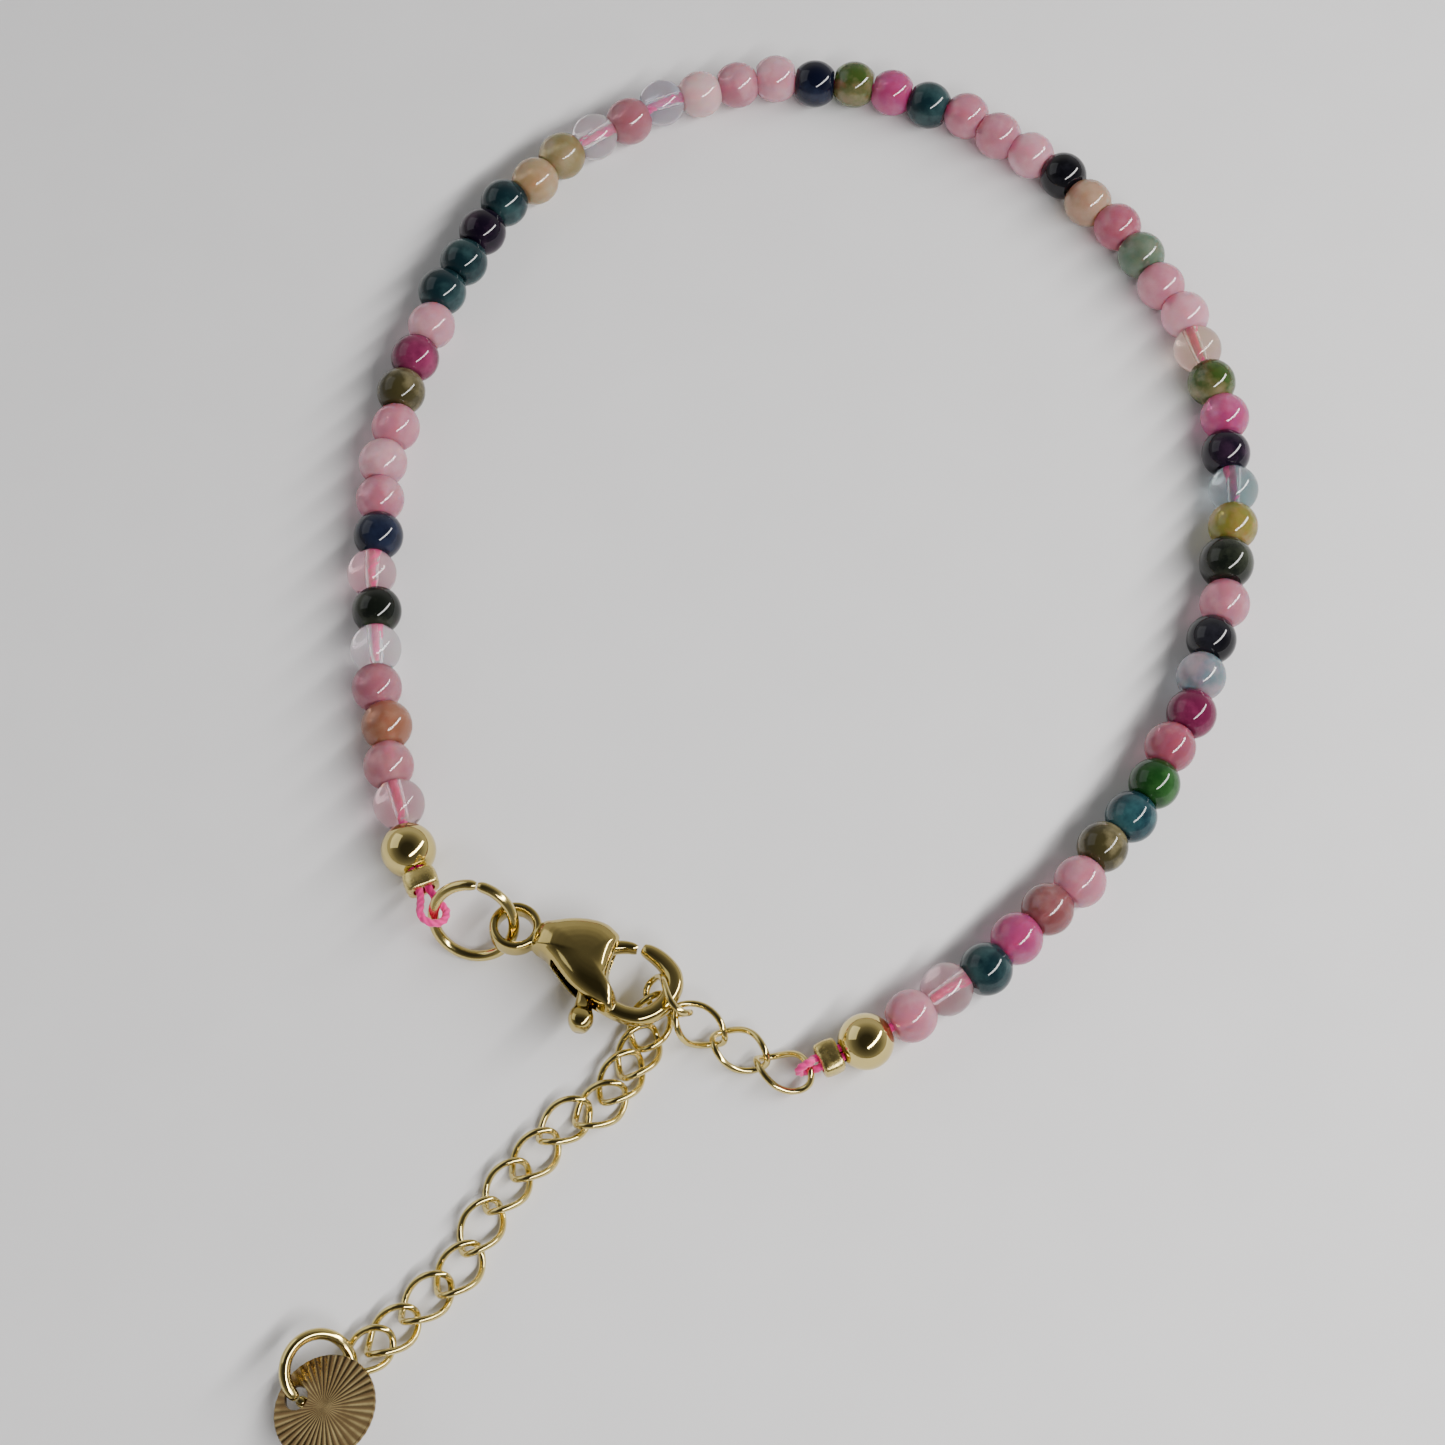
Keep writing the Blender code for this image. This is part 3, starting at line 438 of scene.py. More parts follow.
def chain_run(sizes, start, hold, rows, end_rise=0.0):
    """The poses of the links that follow the hook's link, each one's length towards its neighbours."""
    reach = sizes.link_length - 2 * sizes.link_wire
    steps = np.array([stretch * reach * heading(way) for way, stretch, _ in rows])
    places = np.vstack([start, start + np.cumsum(steps, axis=0)])
    places = np.vstack([places, 2 * places[-1] - places[-2]])
    places[:, 2] = LINK_REST_HEIGHT
    places[0] = hold
    places[-1, 2] += end_rise
    return [settled(sizes, facing(places[i], places[i + 2], places[i + 1], row[2]))
            for i, row in enumerate(rows)]


def in_link(sizes, matrix, along, across):
    """A place in a link's hole, as shares of half its inner length and width."""
    half_length = sizes.link_length / 2 - sizes.link_wire
    half_width = sizes.link_width / 2 - sizes.link_wire
    return moved(matrix, [along * half_length, across * half_width, 0])


def chain_poses(sizes):
    """Every link's pose, from the string's right end to the charm."""
    clasp = clasp_pose(sizes)
    stations = shell_points(sizes, HOOK_ROUTE)
    on_hook = points_at(stations, [HOOK_LINK_STATION * lengths_along(stations)[-1]])
    turns = (turn("Z", HOOK_LINK_HEADING), turn("Y", HOOK_LINK_PITCH), turn("X", HOOK_LINK_ROLL))
    hook_link = pose(moved(clasp, on_hook)[0], *turns)
    middle = hook_link[:3, 3]
    ahead = in_link(sizes, hook_link, *HOOK_LINK_HOLD_AHEAD)
    behind = in_link(sizes, hook_link, *HOOK_LINK_HOLD_BEHIND)
    front = chain_run(sizes, middle, ahead, LINKS_BEFORE_HOOK[::-1], FIRST_LINK_RISE)
    return [*front[::-1], hook_link, *chain_run(sizes, middle, behind, LINKS_AFTER_HOOK)]


def charm_poses(sizes):
    """The charm ring's pose, its radius, and the charm's pose on it."""
    radius = (sizes.charm_ring_diameter - sizes.ring_wire) / 2
    ring = pose([0, 0, 0], turn("Z", CHARM_RING_HIGH_SIDE), turn("Y", -CHARM_RING_TILT))

    def around(bearing):
        angle = math.radians(bearing - CHARM_RING_HIGH_SIDE)
        return moved(ring, [radius * math.cos(angle), radius * math.sin(angle), 0])

    hold = sizes.link_length / 2 - sizes.link_wire - CHARM_RING_ROOM - sizes.ring_wire / 2
    ring[:3, 3] = moved(chain_poses(sizes)[-1], [hold, 0, 0]) - around(CHARM_RING_BEARING + 180)
    ring[2, 3] = radius * math.sin(math.radians(CHARM_RING_TILT)) + sizes.ring_wire / 2
    disc = pose(around(CHARM_HOLE_BEARING), turn("Z", CHARM_HEADING), turn("Y", -CHARM_TILT))
    disc[:3, 3] = moved(disc, [sizes.charm_hole_offset, 0, 0])
    return ring, radius, disc


def string_ends(sizes):
    """For each end of the string: its side, the metal bead's middle, where the thread turns, the way
    of the wire it turns round, and that wire's diameter."""
    reach = METAL_BEAD_LENGTH / 2 + PIECE_GAP + CRIMP_LENGTH
    ring, radius = clasp_ring_pose(sizes)
    left_held = ring[:3, 3] - radius * heading(CLASP_RING_HEADING)
    left_bead = left_held + (reach + LEFT_LOOP_REACH) * heading(LEFT_END_HEADING)
    turn_at = math.radians(RIGHT_LOOP_ANGLE)
    right_held, past = link_line(sizes, chain_poses(sizes)[0], np.array([turn_at, turn_at + 0.01]))
    right_bead = right_held + (reach + RIGHT_LOOP_REACH) * heading(RIGHT_END_HEADING)
    left_bead[2] = right_bead[2] = sizes.metal_bead_diameter / 2
    return (("left", left_bead, left_held, ring[:3, 1], sizes.ring_wire),
            ("right", right_bead, right_held, unit(past - right_held), sizes.link_wire))


def stone_places(sizes):
    """Each stone's middle, its way along the thread, its length and its diameter. They lie end to
    end, each one a little to the side by a sine of its number."""
    (_, start, *_), (_, end, *_) = string_ends(sizes)
    diameters = np.full(len(STRING_ORDER), sizes.stone_diameter)
    diameters[LARGE_STONE_PLACE - 1] = sizes.large_stone_diameter
    lengths = sizes.stone_length * diameters / sizes.stone_diameter
    first = METAL_BEAD_LENGTH / 2 + STRING_END_GAP
    middles = first + np.cumsum(lengths) - lengths / 2
    line = strand_line(start[:2], end[:2], 2 * first + lengths.sum())
    places = points_at(line, middles)
    ways = unit(points_at(line, middles + lengths / 2) - points_at(line, middles - lengths / 2))
    stagger = sizes.stone_stagger * np.sin(STAGGER_STEP * np.arange(len(places)))[:, None]
    places = places + stagger * np.stack([-ways[:, 1], ways[:, 0]], -1)
    return places, ways, lengths, diameters, start, end


# Surfaces


class Surface:
    """Grids of points gathered into one mesh, with paint values at their points."""

    def __init__(self):
        self.points, self.fours, self.threes, self.paint = [], [], [], {}
        self.count = 0

    def add(self, grid, closed_rows=False, closed_columns=True, capped=False, **paint):
        """Joins each point to the next in its row and its column. A capped grid's two end rows are
        fanned to their own middles. Faces are turned outwards by the sign of the volume they hold.
        Each paint is one colour for the whole grid, or a number for each of its points."""
        rows, columns = grid.shape[:2]
        row = np.arange(rows if closed_rows else rows - 1)[:, None]
        column = np.arange(columns if closed_columns else columns - 1)[None, :]
        next_row, next_column = (row + 1) % rows, (column + 1) % columns
        corners = (row * columns + column, row * columns + next_column,
                   next_row * columns + next_column, next_row * columns + column)
        fours = np.stack(np.broadcast_arrays(*corners), -1).reshape(-1, 4)
        points = grid.reshape(-1, 3)
        threes = np.empty((0, 3), int)
        if capped:
            around = np.arange(columns)
            beyond = (around + 1) % columns
            last = (rows - 1) * columns
            first_fan = np.stack([beyond, around, np.full(columns, rows * columns)], -1)
            last_fan = np.stack([last + around, last + beyond, np.full(columns, rows * columns + 1)], -1)
            threes = np.vstack([first_fan, last_fan])
            points = np.vstack([points, grid[0].mean(axis=0), grid[-1].mean(axis=0)])
        local = points - points.mean(axis=0)
        split = np.vstack([fours[:, [0, 1, 2]], fours[:, [0, 2, 3]], threes])
        if np.einsum("ij,ij->", local[split[:, 0]],
                     np.cross(local[split[:, 1]], local[split[:, 2]])) < 0:
            fours, threes = fours[:, ::-1], threes[:, ::-1]
        self.points.append(points)
        self.fours.append(fours + self.count)
        self.threes.append(threes + self.count)
        self.count += len(points)
        for name, value in paint.items():
            value = np.asarray(value, float)
            if value.shape == grid.shape[:2]:
                value = value.reshape(-1, 1)
                value = np.vstack([value, value[:1], value[-1:]]) if capped else value
            value = np.broadcast_to(value, (len(points), value.shape[-1]))
            self.paint.setdefault(name, []).append(value)
        return self

    def build(self, name, look, sharp=50.0):
        """The mesh of all the grids, smooth but for edges sharper than the angle, as one object."""
        points = np.vstack(self.points)
        fours, threes = np.vstack(self.fours), np.vstack(self.threes)
        loops = np.concatenate([fours.ravel(), threes.ravel()])
        starts = np.concatenate([4 * np.arange(len(fours)), fours.size + 3 * np.arange(len(threes))])
        mesh = bpy.data.meshes.new(name)
        mesh.vertices.add(len(points))
        mesh.vertices.foreach_set("co", points.ravel())
        mesh.loops.add(len(loops))
        mesh.loops.foreach_set("vertex_index", loops)
        mesh.polygons.add(len(starts))
        mesh.polygons.foreach_set("loop_start", starts)
        mesh.update(calc_edges=True)
        for paint, values in self.paint.items():
            values = np.vstack(values)
            if values.shape[1] == 3:
                values = np.hstack([values, np.ones((len(values), 1))])
                mesh.attributes.new(paint, "FLOAT_COLOR", "POINT").data.foreach_set("color", values.ravel())
            else:
                mesh.attributes.new(paint, "FLOAT", "POINT").data.foreach_set("value", values.ravel())
        mesh.shade_smooth()
        mesh.set_sharp_from_angle(angle=math.radians(sharp))
        return place_piece(name, mesh, look)


def place_piece(name, mesh, look):
    """Links the mesh to the scene as an object at the origin."""
    piece = bpy.data.objects.new(name, mesh)
    bpy.context.scene.collection.objects.link(piece)
    if look is not None:
        mesh.materials.clear()
        mesh.materials.append(look)
    return piece


def angles_round(count):
    """This many angles, evenly round a circle."""
    return np.linspace(0, 2 * math.pi, count, endpoint=False)


def level_circle(radius, angles):
    """Level points at these angles: the radius times their cosines and sines."""
    return radius * np.stack([np.cos(angles), np.sin(angles), 0 * angles], -1)


def round_line(sides, power=2.0):
    """Around a rounded square: cosine and sine, each raised to two over the power. Two is a circle."""
    angles = angles_round(sides)
    cosines, sines = np.cos(angles), np.sin(angles)
    return np.sign(cosines) * abs(cosines) ** (2 / power), np.sign(sines) * abs(sines) ** (2 / power)


def beside(way):
    """The unit vectors beside a way: up crossed with the way, and the way crossed with that."""
    side = unit(np.cross([0, 0, 1], way))
    return side, np.cross(way, side)


def ringed(path, side, upper, wide, tall, sides, power=2.0):
    """Rings of a rounded profile: each is the path's point, plus the profile's first part times the
    width along the side vector, plus its second part times the height along the upper vector."""
    across, raised = round_line(sides, power)
    return path[:, None] + (wide * across)[..., None] * side + (tall * raised)[..., None] * upper


def carried(path, reference, wide, tall, sides, power=2.0, closed=False):
    """A rounded profile carried along a path, as rings. The side vector is the reference crossed with
    the path's way, and the upper vector is the way crossed with that."""
    ways = np.roll(path, -1, 0) - np.roll(path, 1, 0) if closed else np.gradient(path, axis=0)
    ways = unit(ways)
    side = unit(np.cross(reference, ways))
    wide, tall = (np.broadcast_to(value, (len(path), sides)) for value in (wide, tall))
    return ringed(path, side[:, None], np.cross(ways, side)[:, None], wide, tall, sides, power)


def turned(centre, way, along, radius, sides):
    """A profile turned about an axis: its place along the axis, plus its radius times the circle."""
    way, radius = unit(way), radius[:, None]
    return ringed(centre + along[:, None] * way, *beside(way), radius, radius, sides)


def drilled_ball(half_length, radius, bore, rings):
    """The profile of a drilled ball: a circle's arc between its two flat ends, whose edges are eased,
    and back along the bore. A ball that is as long as its width keeps only the flats of its bore."""
    ease = BALL_EASE * radius
    first = max(math.acos(min((half_length - ease) / radius, 1.0)), math.asin((bore + ease) / radius))
    angles = np.linspace(first, math.pi - first, rings)
    along, out = -radius * np.cos(angles), radius * np.sin(angles)
    end = min(half_length, along[-1] + ease / 2)
    flat = max(out[-1] - 2 * ease, bore)
    return (np.concatenate([[-end], along, [end, end, 0.0, -end]]),
            np.concatenate([[flat], out, [flat], np.full(3, BORE_INSIDE * bore)]))


def wire_ends(count, rounding=0.75):
    """Widths along an open wire: one, falling along a part of a quarter circle at both ends."""
    widths = np.ones(count)
    fall = np.sqrt(1 - np.linspace(rounding, 0, 4) ** 2)
    widths[:4], widths[-4:] = fall, fall[::-1]
    return widths[:, None]


def solid_of(surface, cutters=(), joined=(), voxel=0.0, smooth=0):
    """The surface in millimetres with others joined to it and cut from it, then remeshed in small
    cubes and smoothed, as a casting's edges are. Returns the finished mesh in millimetres."""
    helpers = []

    def helper(grids, name):
        piece = grids.build(name, None)
        helpers.append(piece)
        return piece

    body = helper(surface, "casting")
    for kind, others in (("UNION", joined), ("DIFFERENCE", cutters)):
        for i, other in enumerate(others):
            step = body.modifiers.new(f"{kind} {i}", "BOOLEAN")
            step.operation, step.solver = kind, "EXACT"
            step.object = helper(other, f"{kind.lower()} {i}")
    if voxel:
        remesh = body.modifiers.new("fine cubes", "REMESH")
        remesh.mode, remesh.voxel_size, remesh.use_smooth_shade = "VOXEL", voxel, True
    if smooth:
        soften = body.modifiers.new("soft edges", "SMOOTH")
        soften.factor, soften.iterations = 0.5, smooth
    graph = bpy.context.evaluated_depsgraph_get()
    mesh = bpy.data.meshes.new_from_object(body.evaluated_get(graph))
    for piece in helpers:
        old = piece.data
        bpy.data.objects.remove(piece, do_unlink=True)
        bpy.data.meshes.remove(old)
    return mesh


def points_of(mesh):
    """The mesh's points, a row for each."""
    points = np.empty(len(mesh.vertices) * 3)
    mesh.vertices.foreach_get("co", points)
    return points.reshape(-1, 3)


def carry_piece(name, mesh, matrix, look, sharp=None):
    """The mesh from millimetres to metres, each point a thousandth of itself and then moved by the
    matrix, as an object. It is smooth, but for edges sharper than the angle where one is given."""
    if len(mesh.polygons) == 0:
        raise RuntimeError(f"{name} came out empty")
    mesh.name = name
    mesh.vertices.foreach_set("co", moved(matrix, points_of(mesh) / MM).ravel())
    mesh.update()
    if sharp is None:
        mesh.shade_smooth()
    else:
        mesh.set_sharp_from_angle(angle=math.radians(sharp))
    return place_piece(name, mesh, look)


def prism(outline, low, high):
    """A straight-sided solid: the outline at the low height and at the high height."""
    grid = np.stack([np.pad(outline[:, :2], ((0, 0), (0, 1)), constant_values=level)
                     for level in (low, high)])
    return Surface().add(grid, capped=True)


def circle_outline(centre, diameter, sides=40):
    """Corners of a circle about a centre."""
    across, raised = round_line(sides)
    return np.asarray(centre)[:2] + diameter / 2 * np.stack([across, raised], -1)


def station_line(sizes, route, samples):
    """A clasp route's smoothed line in millimetres, and its two smoothed columns of shares."""
    rows = np.hstack([shell_points(sizes, route) * MM, np.array(route)[:, 2:]])
    line = smooth_curve(rows, samples)
    return line[:, :3], line[:, 3:4], line[:, 4:5]


def cast_arm(line, wide, tall, power):
    """A rounded profile carried along a line in millimetres, its full width and height given in
    metres for each point, and drawn in at both ends."""
    ends = wire_ends(len(line), 0.6)
    half = MM / 2 * ends
    return Surface().add(carried(line, [0, 0, 1], wide * half, tall * half, 28, power), capped=True)


def surface_from(mesh):
    """A finished mesh as a surface again, its faces cut into triangles."""
    mesh.calc_loop_triangles()
    threes = np.empty(len(mesh.loop_triangles) * 3, np.int32)
    mesh.loop_triangles.foreach_get("vertices", threes)
    surface = Surface()
    surface.points = [points_of(mesh)]
    surface.fours = [np.empty((0, 4), int)]
    surface.threes = [threes.reshape(-1, 3)]
    return surface


# Finishes


class Value:
    """A shader socket that Python's arithmetic works on. Each step adds one Math node."""

    def __init__(self, nodes, socket):
        self.nodes, self.socket = nodes, socket

    def _math(self, operation, *values):
        return self.nodes.node("ShaderNodeMath", {"operation": operation}, dict(enumerate(values)))

    def __add__(self, other):
        return self._math("ADD", self, other)

    def __sub__(self, other):
        return self._math("SUBTRACT", self, other)

    def __rsub__(self, other):
        return self._math("SUBTRACT", other, self)

    def __mul__(self, other):
        return self._math("MULTIPLY", self, other)

    def __pow__(self, other):
        return self._math("POWER", self, other)

    __radd__, __rmul__ = __add__, __mul__


class Nodes:
    """The nodes of one material, or of the world."""

    def __init__(self, tree):
        self.tree = tree

    def node(self, kind, settings=None, values=None, output=0):
        """A node of the kind: its settings first, then values or links for its sockets. Returns one
        of its outputs."""
        node = self.tree.nodes.new(kind)
        for key, value in (settings or {}).items():
            if key == "stops":
                for i, (position, colour) in enumerate(value):
                    stops = node.color_ramp.elements
                    stop = stops[i] if i < 2 else stops.new(position)
                    stop.position, stop.color = position, colour
            else:
                setattr(node, key, value)
        for key, value in (values or {}).items():
            self.link(node.inputs[key], value)
        return Value(self, node.outputs[output])

    def link(self, socket, value):
        """Feeds a socket with a value's own socket, or sets it to a plain value."""
        if isinstance(value, Value):
            self.tree.links.new(value.socket, socket)
        else:
            socket.default_value = value


class Look(Nodes):
    """One material: a Principled shader and the nodes that feed it."""

    def __init__(self, name, **constants):
        self.material = bpy.data.materials.new(name)
        self.material.use_nodes = True
        super().__init__(self.material.node_tree)
        self.shader = self.tree.nodes["Principled BSDF"]
        self.set(**constants)

    def set(self, **sockets):
        """Feeds the Principled shader's sockets."""
        for name, value in sockets.items():
            self.link(self.shader.inputs[name.replace("_", " ")], value)

    def noise(self, scale, detail=3.0, roughness=0.5):
        """Noise from nought to one on the surface's own coordinates, with this many lumps to the metre."""
        place = self.node("ShaderNodeTexCoord", output="Object")
        return self.node("ShaderNodeTexNoise", None, {
            "Vector": place, "Scale": scale, "Detail": detail, "Roughness": roughness})

    def painted(self, name, output="Color"):
        """A colour or a number that the surface carries at its points."""
        return self.node("ShaderNodeAttribute", {"attribute_name": name}, output=output)

    def mix(self, share, first, second):
        """The first colour turning into the second as the share goes from nought to one."""
        return self.node("ShaderNodeMix", {"data_type": "RGBA"}, {0: share, 6: first, 7: second}, 2)

    def clamp(self, value, low, high):
        """The value spread so that low becomes nought and high becomes one, and held between."""
        return self.node("ShaderNodeMapRange", None,
                         {"Value": value, "From Min": low, "From Max": high, "To Min": 0.0, "To Max": 1.0})

    def bump(self, height, strength, distance):
        """The surface's direction, tipped by the slope of the height, which is metres high at most."""
        return self.node("ShaderNodeBump", None,
                         {"Height": height, "Strength": strength, "Distance": distance})


def rgba(colour):
    """The colour with full alpha."""
    return (*colour[:3], 1.0)


def polished_gold(name, colours, roughness, unevenness, grain=0.05, painted_shade=0.0):
    """Plated brass: two close tones in slow clouds, a slightly uneven polish, and fine handling marks.
    The painted shade moves the whole of it towards the deeper tone, as a darker copy of the same plating."""
    look = Look(name, Metallic=1.0)
    clouds = look.clamp(look.noise(420.0, 3.0), 0.35, 0.75)
    tone = look.mix(clouds * 0.4 + painted_shade, rgba(colours.gold), rgba(colours.gold_shade))
    polish = look.clamp(look.noise(1500.0, 5.0, 0.6), 0.3, 0.8)
    marks = look.noise(5200.0, 4.0, 0.6)
    look.set(Base_Color=tone, Roughness=polish * unevenness + roughness,
             Normal=look.bump(marks, grain, 0.00002))
    return look.material


def satin_gold(name, colours):
    """Pressed tube: duller plating with short marks from the pliers."""
    look = Look(name, Metallic=1.0)
    press = look.clamp(look.noise(2600.0, 4.0, 0.6), 0.35, 0.7)
    tone = look.mix(press * 0.55, rgba(colours.gold), rgba(colours.gold_shade))
    look.set(Base_Color=tone, Roughness=press * 0.18 + 0.20, Normal=look.bump(press, 0.25, 0.00004))
    return look.material


def pleated_gold(name, colours):
    """The charm's sheet: painted highlights along its pleats' crests, and painted shade, browner, in the
    furrows.
    """
    look = Look(name, Metallic=1.0)
    clouds = look.clamp(look.noise(700.0, 3.0), 0.3, 0.7)
    # The crest share, squared and broken by clouds, places the painted highlights, and elsewhere the painted
    # shade stays.
    crest = look.painted("crest", "Fac") ** 2.0 * clouds
    tone = look.mix(crest, rgba(colours.charm_furrow_shade), rgba(colours.charm_crest_highlight))
    grain = look.noise(2600.0, 4.0, 0.6)
    look.set(Base_Color=tone, Roughness=grain * 0.10 + 0.20, Normal=look.bump(grain, 0.10, 0.00003))
    return look.material


def polished_stone(name, **constants):
    """A stone's main colour with veins and clouds of its second one, under a polish with faint pits."""
    look = Look(name, **constants)
    slow = look.noise(520.0, 2.0)
    fine = look.noise(1400.0, 5.0, 0.65)
    veins = look.clamp(slow * 0.65 + fine * 0.35, 0.46, 0.64)
    tone = look.mix(veins * 0.85, look.painted("stone"), look.painted("vein"))
    pits = look.noise(4200.0, 3.0)
    look.set(Base_Color=tone, Roughness=look.clamp(fine, 0.4, 0.8) * 0.04 + 0.02,
             Normal=look.bump(pits, 0.04, 0.00002))
    return look.material


def twisted_thread(name, colours):
    """Thread: its plies' crests in the thread's own bright colour, painted shade deep in their furrows, and
    short fibres along them.
    """
    # Painted glow: a faint emission of the thread's own tone makes it shine a little though it is no lamp.
    look = Look(name, Sheen_Weight=0.4, Sheen_Roughness=0.5, Subsurface_Weight=0.15,
                Subsurface_Scale=0.0003, Emission_Strength=0.15)
    crest = look.painted("crest", "Fac")
    fibre = look.noise(9000.0, 4.0, 0.7)
    # The furrows take painted shade, and the crests the thread's own colour.
    tone = look.mix(crest * 0.75 + fibre * 0.25, rgba(colours.thread_furrow_shade), rgba(colours.thread))
    look.set(Base_Color=tone, Emission_Color=tone, Roughness=fibre * 0.2 + 0.5,
             Normal=look.bump(fibre, 0.4, 0.00004))
    return look.material


# Pieces


def finish(piece, *nodes, slot="gold_plate", body="bracelet"):
    """The piece stands for the CAD nodes, which are hidden, and moves with the body. The slot is not used.
    """
    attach(piece, body)
    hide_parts(*nodes)


def plied(path, reference, radius, pitch, sides=18, plies=3):
    """A twisted thread: a circle whose radius swells by a cosine of the plies times the angle round
    it, less the turns so far. It is capped at both ends."""
    turns = 2 * math.pi * lengths_along(path)[:, None] / pitch
    crest = np.cos(plies * (angles_round(sides) - turns))
    reach = radius * (1 - FURROW_DEPTH + FURROW_DEPTH * crest) * wire_ends(len(path), 0.9)
    rings = carried(path, reference, reach, reach, sides)
    # The crest share leads the painted shade between the plies.
    return Surface().add(rings, capped=True, crest=(crest + 1) / 2)


class BRACELET_OT_stones(bpy.types.Operator):
    """Adds the stones: drilled balls, each a little shorter along the thread than it is wide"""

    bl_idname = "bracelet.stones"
    bl_label = "Stones"

    def execute(self, context):
        sizes = context.scene.bracelet_sizes
        places, ways, lengths, diameters, _, _ = stone_places(sizes)
        chance = np.random.default_rng(7)
        looks = {
            "clear": polished_stone("clear_stone", IOR=1.46, Transmission_Weight=0.88,
                                    Subsurface_Weight=0.5, Subsurface_Scale=0.0012),
            "milky": polished_stone("milky_stone", IOR=1.50, Transmission_Weight=0.52,
                                    Subsurface_Weight=0.6, Subsurface_Scale=0.0010),
            "deep": polished_stone("deep_stone", IOR=1.40),
        }
        surfaces = {kind: Surface() for kind in looks}
        for i, name in enumerate(STRING_ORDER):
            stone, vein, kind = STONES[name]
            radius = diameters[i] / 2 * chance.uniform(*STONE_SHARES)
            tilt = math.radians(chance.uniform(-STONE_TURN, STONE_TURN))
            way = np.array([ways[i, 0] * math.cos(tilt) - ways[i, 1] * math.sin(tilt),
                            ways[i, 0] * math.sin(tilt) + ways[i, 1] * math.cos(tilt),
                            math.sin(math.radians(chance.uniform(-STONE_LIFT, STONE_LIFT)))])
            along, out = drilled_ball(lengths[i] / 2 * STONE_LENGTH_SHARE, radius, sizes.stone_bore / 2, 26)
            centre = np.array([*places[i], radius])
            tint = 1 + chance.uniform(-STONE_TINT, STONE_TINT)
            surfaces[kind].add(turned(centre, way, along, out, 36), closed_rows=True,
                               stone=np.multiply(stone, tint), vein=vein)
        for kind, look in looks.items():
            finish(surfaces[kind].build(f"{kind}_stones", look), "bead_string", slot="stone")
        return {"FINISHED"}


class BRACELET_OT_thread(bpy.types.Operator):
    """Adds the thread through the stones and its loops at both ends"""

    bl_idname = "bracelet.thread"
    bl_label = "Thread"

    def execute(self, context):
        sizes = context.scene.bracelet_sizes
        look = twisted_thread("pink_thread", context.scene.bracelet_colours)
        places, _, _, diameters, start, end = stone_places(sizes)
        heights = diameters[:, None] / 2
        middles = np.hstack([places, heights])
        ends = middles[[0, -1]] + THREAD_PAST_STONES * (np.stack([start, end]) - middles[[0, -1]])
        line = smooth_curve(np.vstack([ends[:1], middles, ends[1:]]), 14)
        core = plied(line, [0, 0, 1], sizes.stone_bore * THREAD_IN_BORE, sizes.thread_pitch, 12)
        finish(core.build("strung_thread", look), "bead_string", slot="pink_thread")
        for side, bead, held, held_way, held_wire in string_ends(sizes):
            loop = plied(self.hairpin(sizes, bead, held, held_way, held_wire), held_way,
                         sizes.thread_diameter / 2, sizes.thread_pitch)
            finish(loop.build(f"thread_turn_{side}", look), f"thread_loop_{side}", slot="pink_thread")
        return {"FINISHED"}

    @staticmethod
    def hairpin(sizes, bead, held, held_way, held_wire):
        """Two strands side by side out of the crimp, which open to a half circle round the wire: the
        bend times the cosine to the wire's side, plus the bend times the sine outwards."""
        strand = (sizes.thread_diameter + THREAD_ROOM) / 2
        bend = held_wire / 2 + LOOP_WIRE_ROOM + sizes.thread_diameter / 2
        outward = unit(held - bead)
        side, _ = beside(outward)
        held_side = unit(np.cross(held_way, outward))
        held_side = held_side if held_side @ side > 0 else -held_side
        mouth = METAL_BEAD_LENGTH / 2 + PIECE_GAP + CRIMP_LENGTH + LOOP_MOUTH
        legs = [[*(bead + reach * outward + sign * strand * side for reach in (LOOP_SINK, mouth / 2, mouth)),
                 held - LOOP_OPENING * bend * outward + sign * bend * held_side] for sign in (1, -1)]
        angles = np.linspace(LOOP_BEND_START, math.pi - LOOP_BEND_START, 6)[:, None]
        arc = held + bend * (np.cos(angles) * held_side + np.sin(angles) * outward)
        return smooth_curve(np.vstack([legs[0], arc, legs[1][::-1]]), 10)


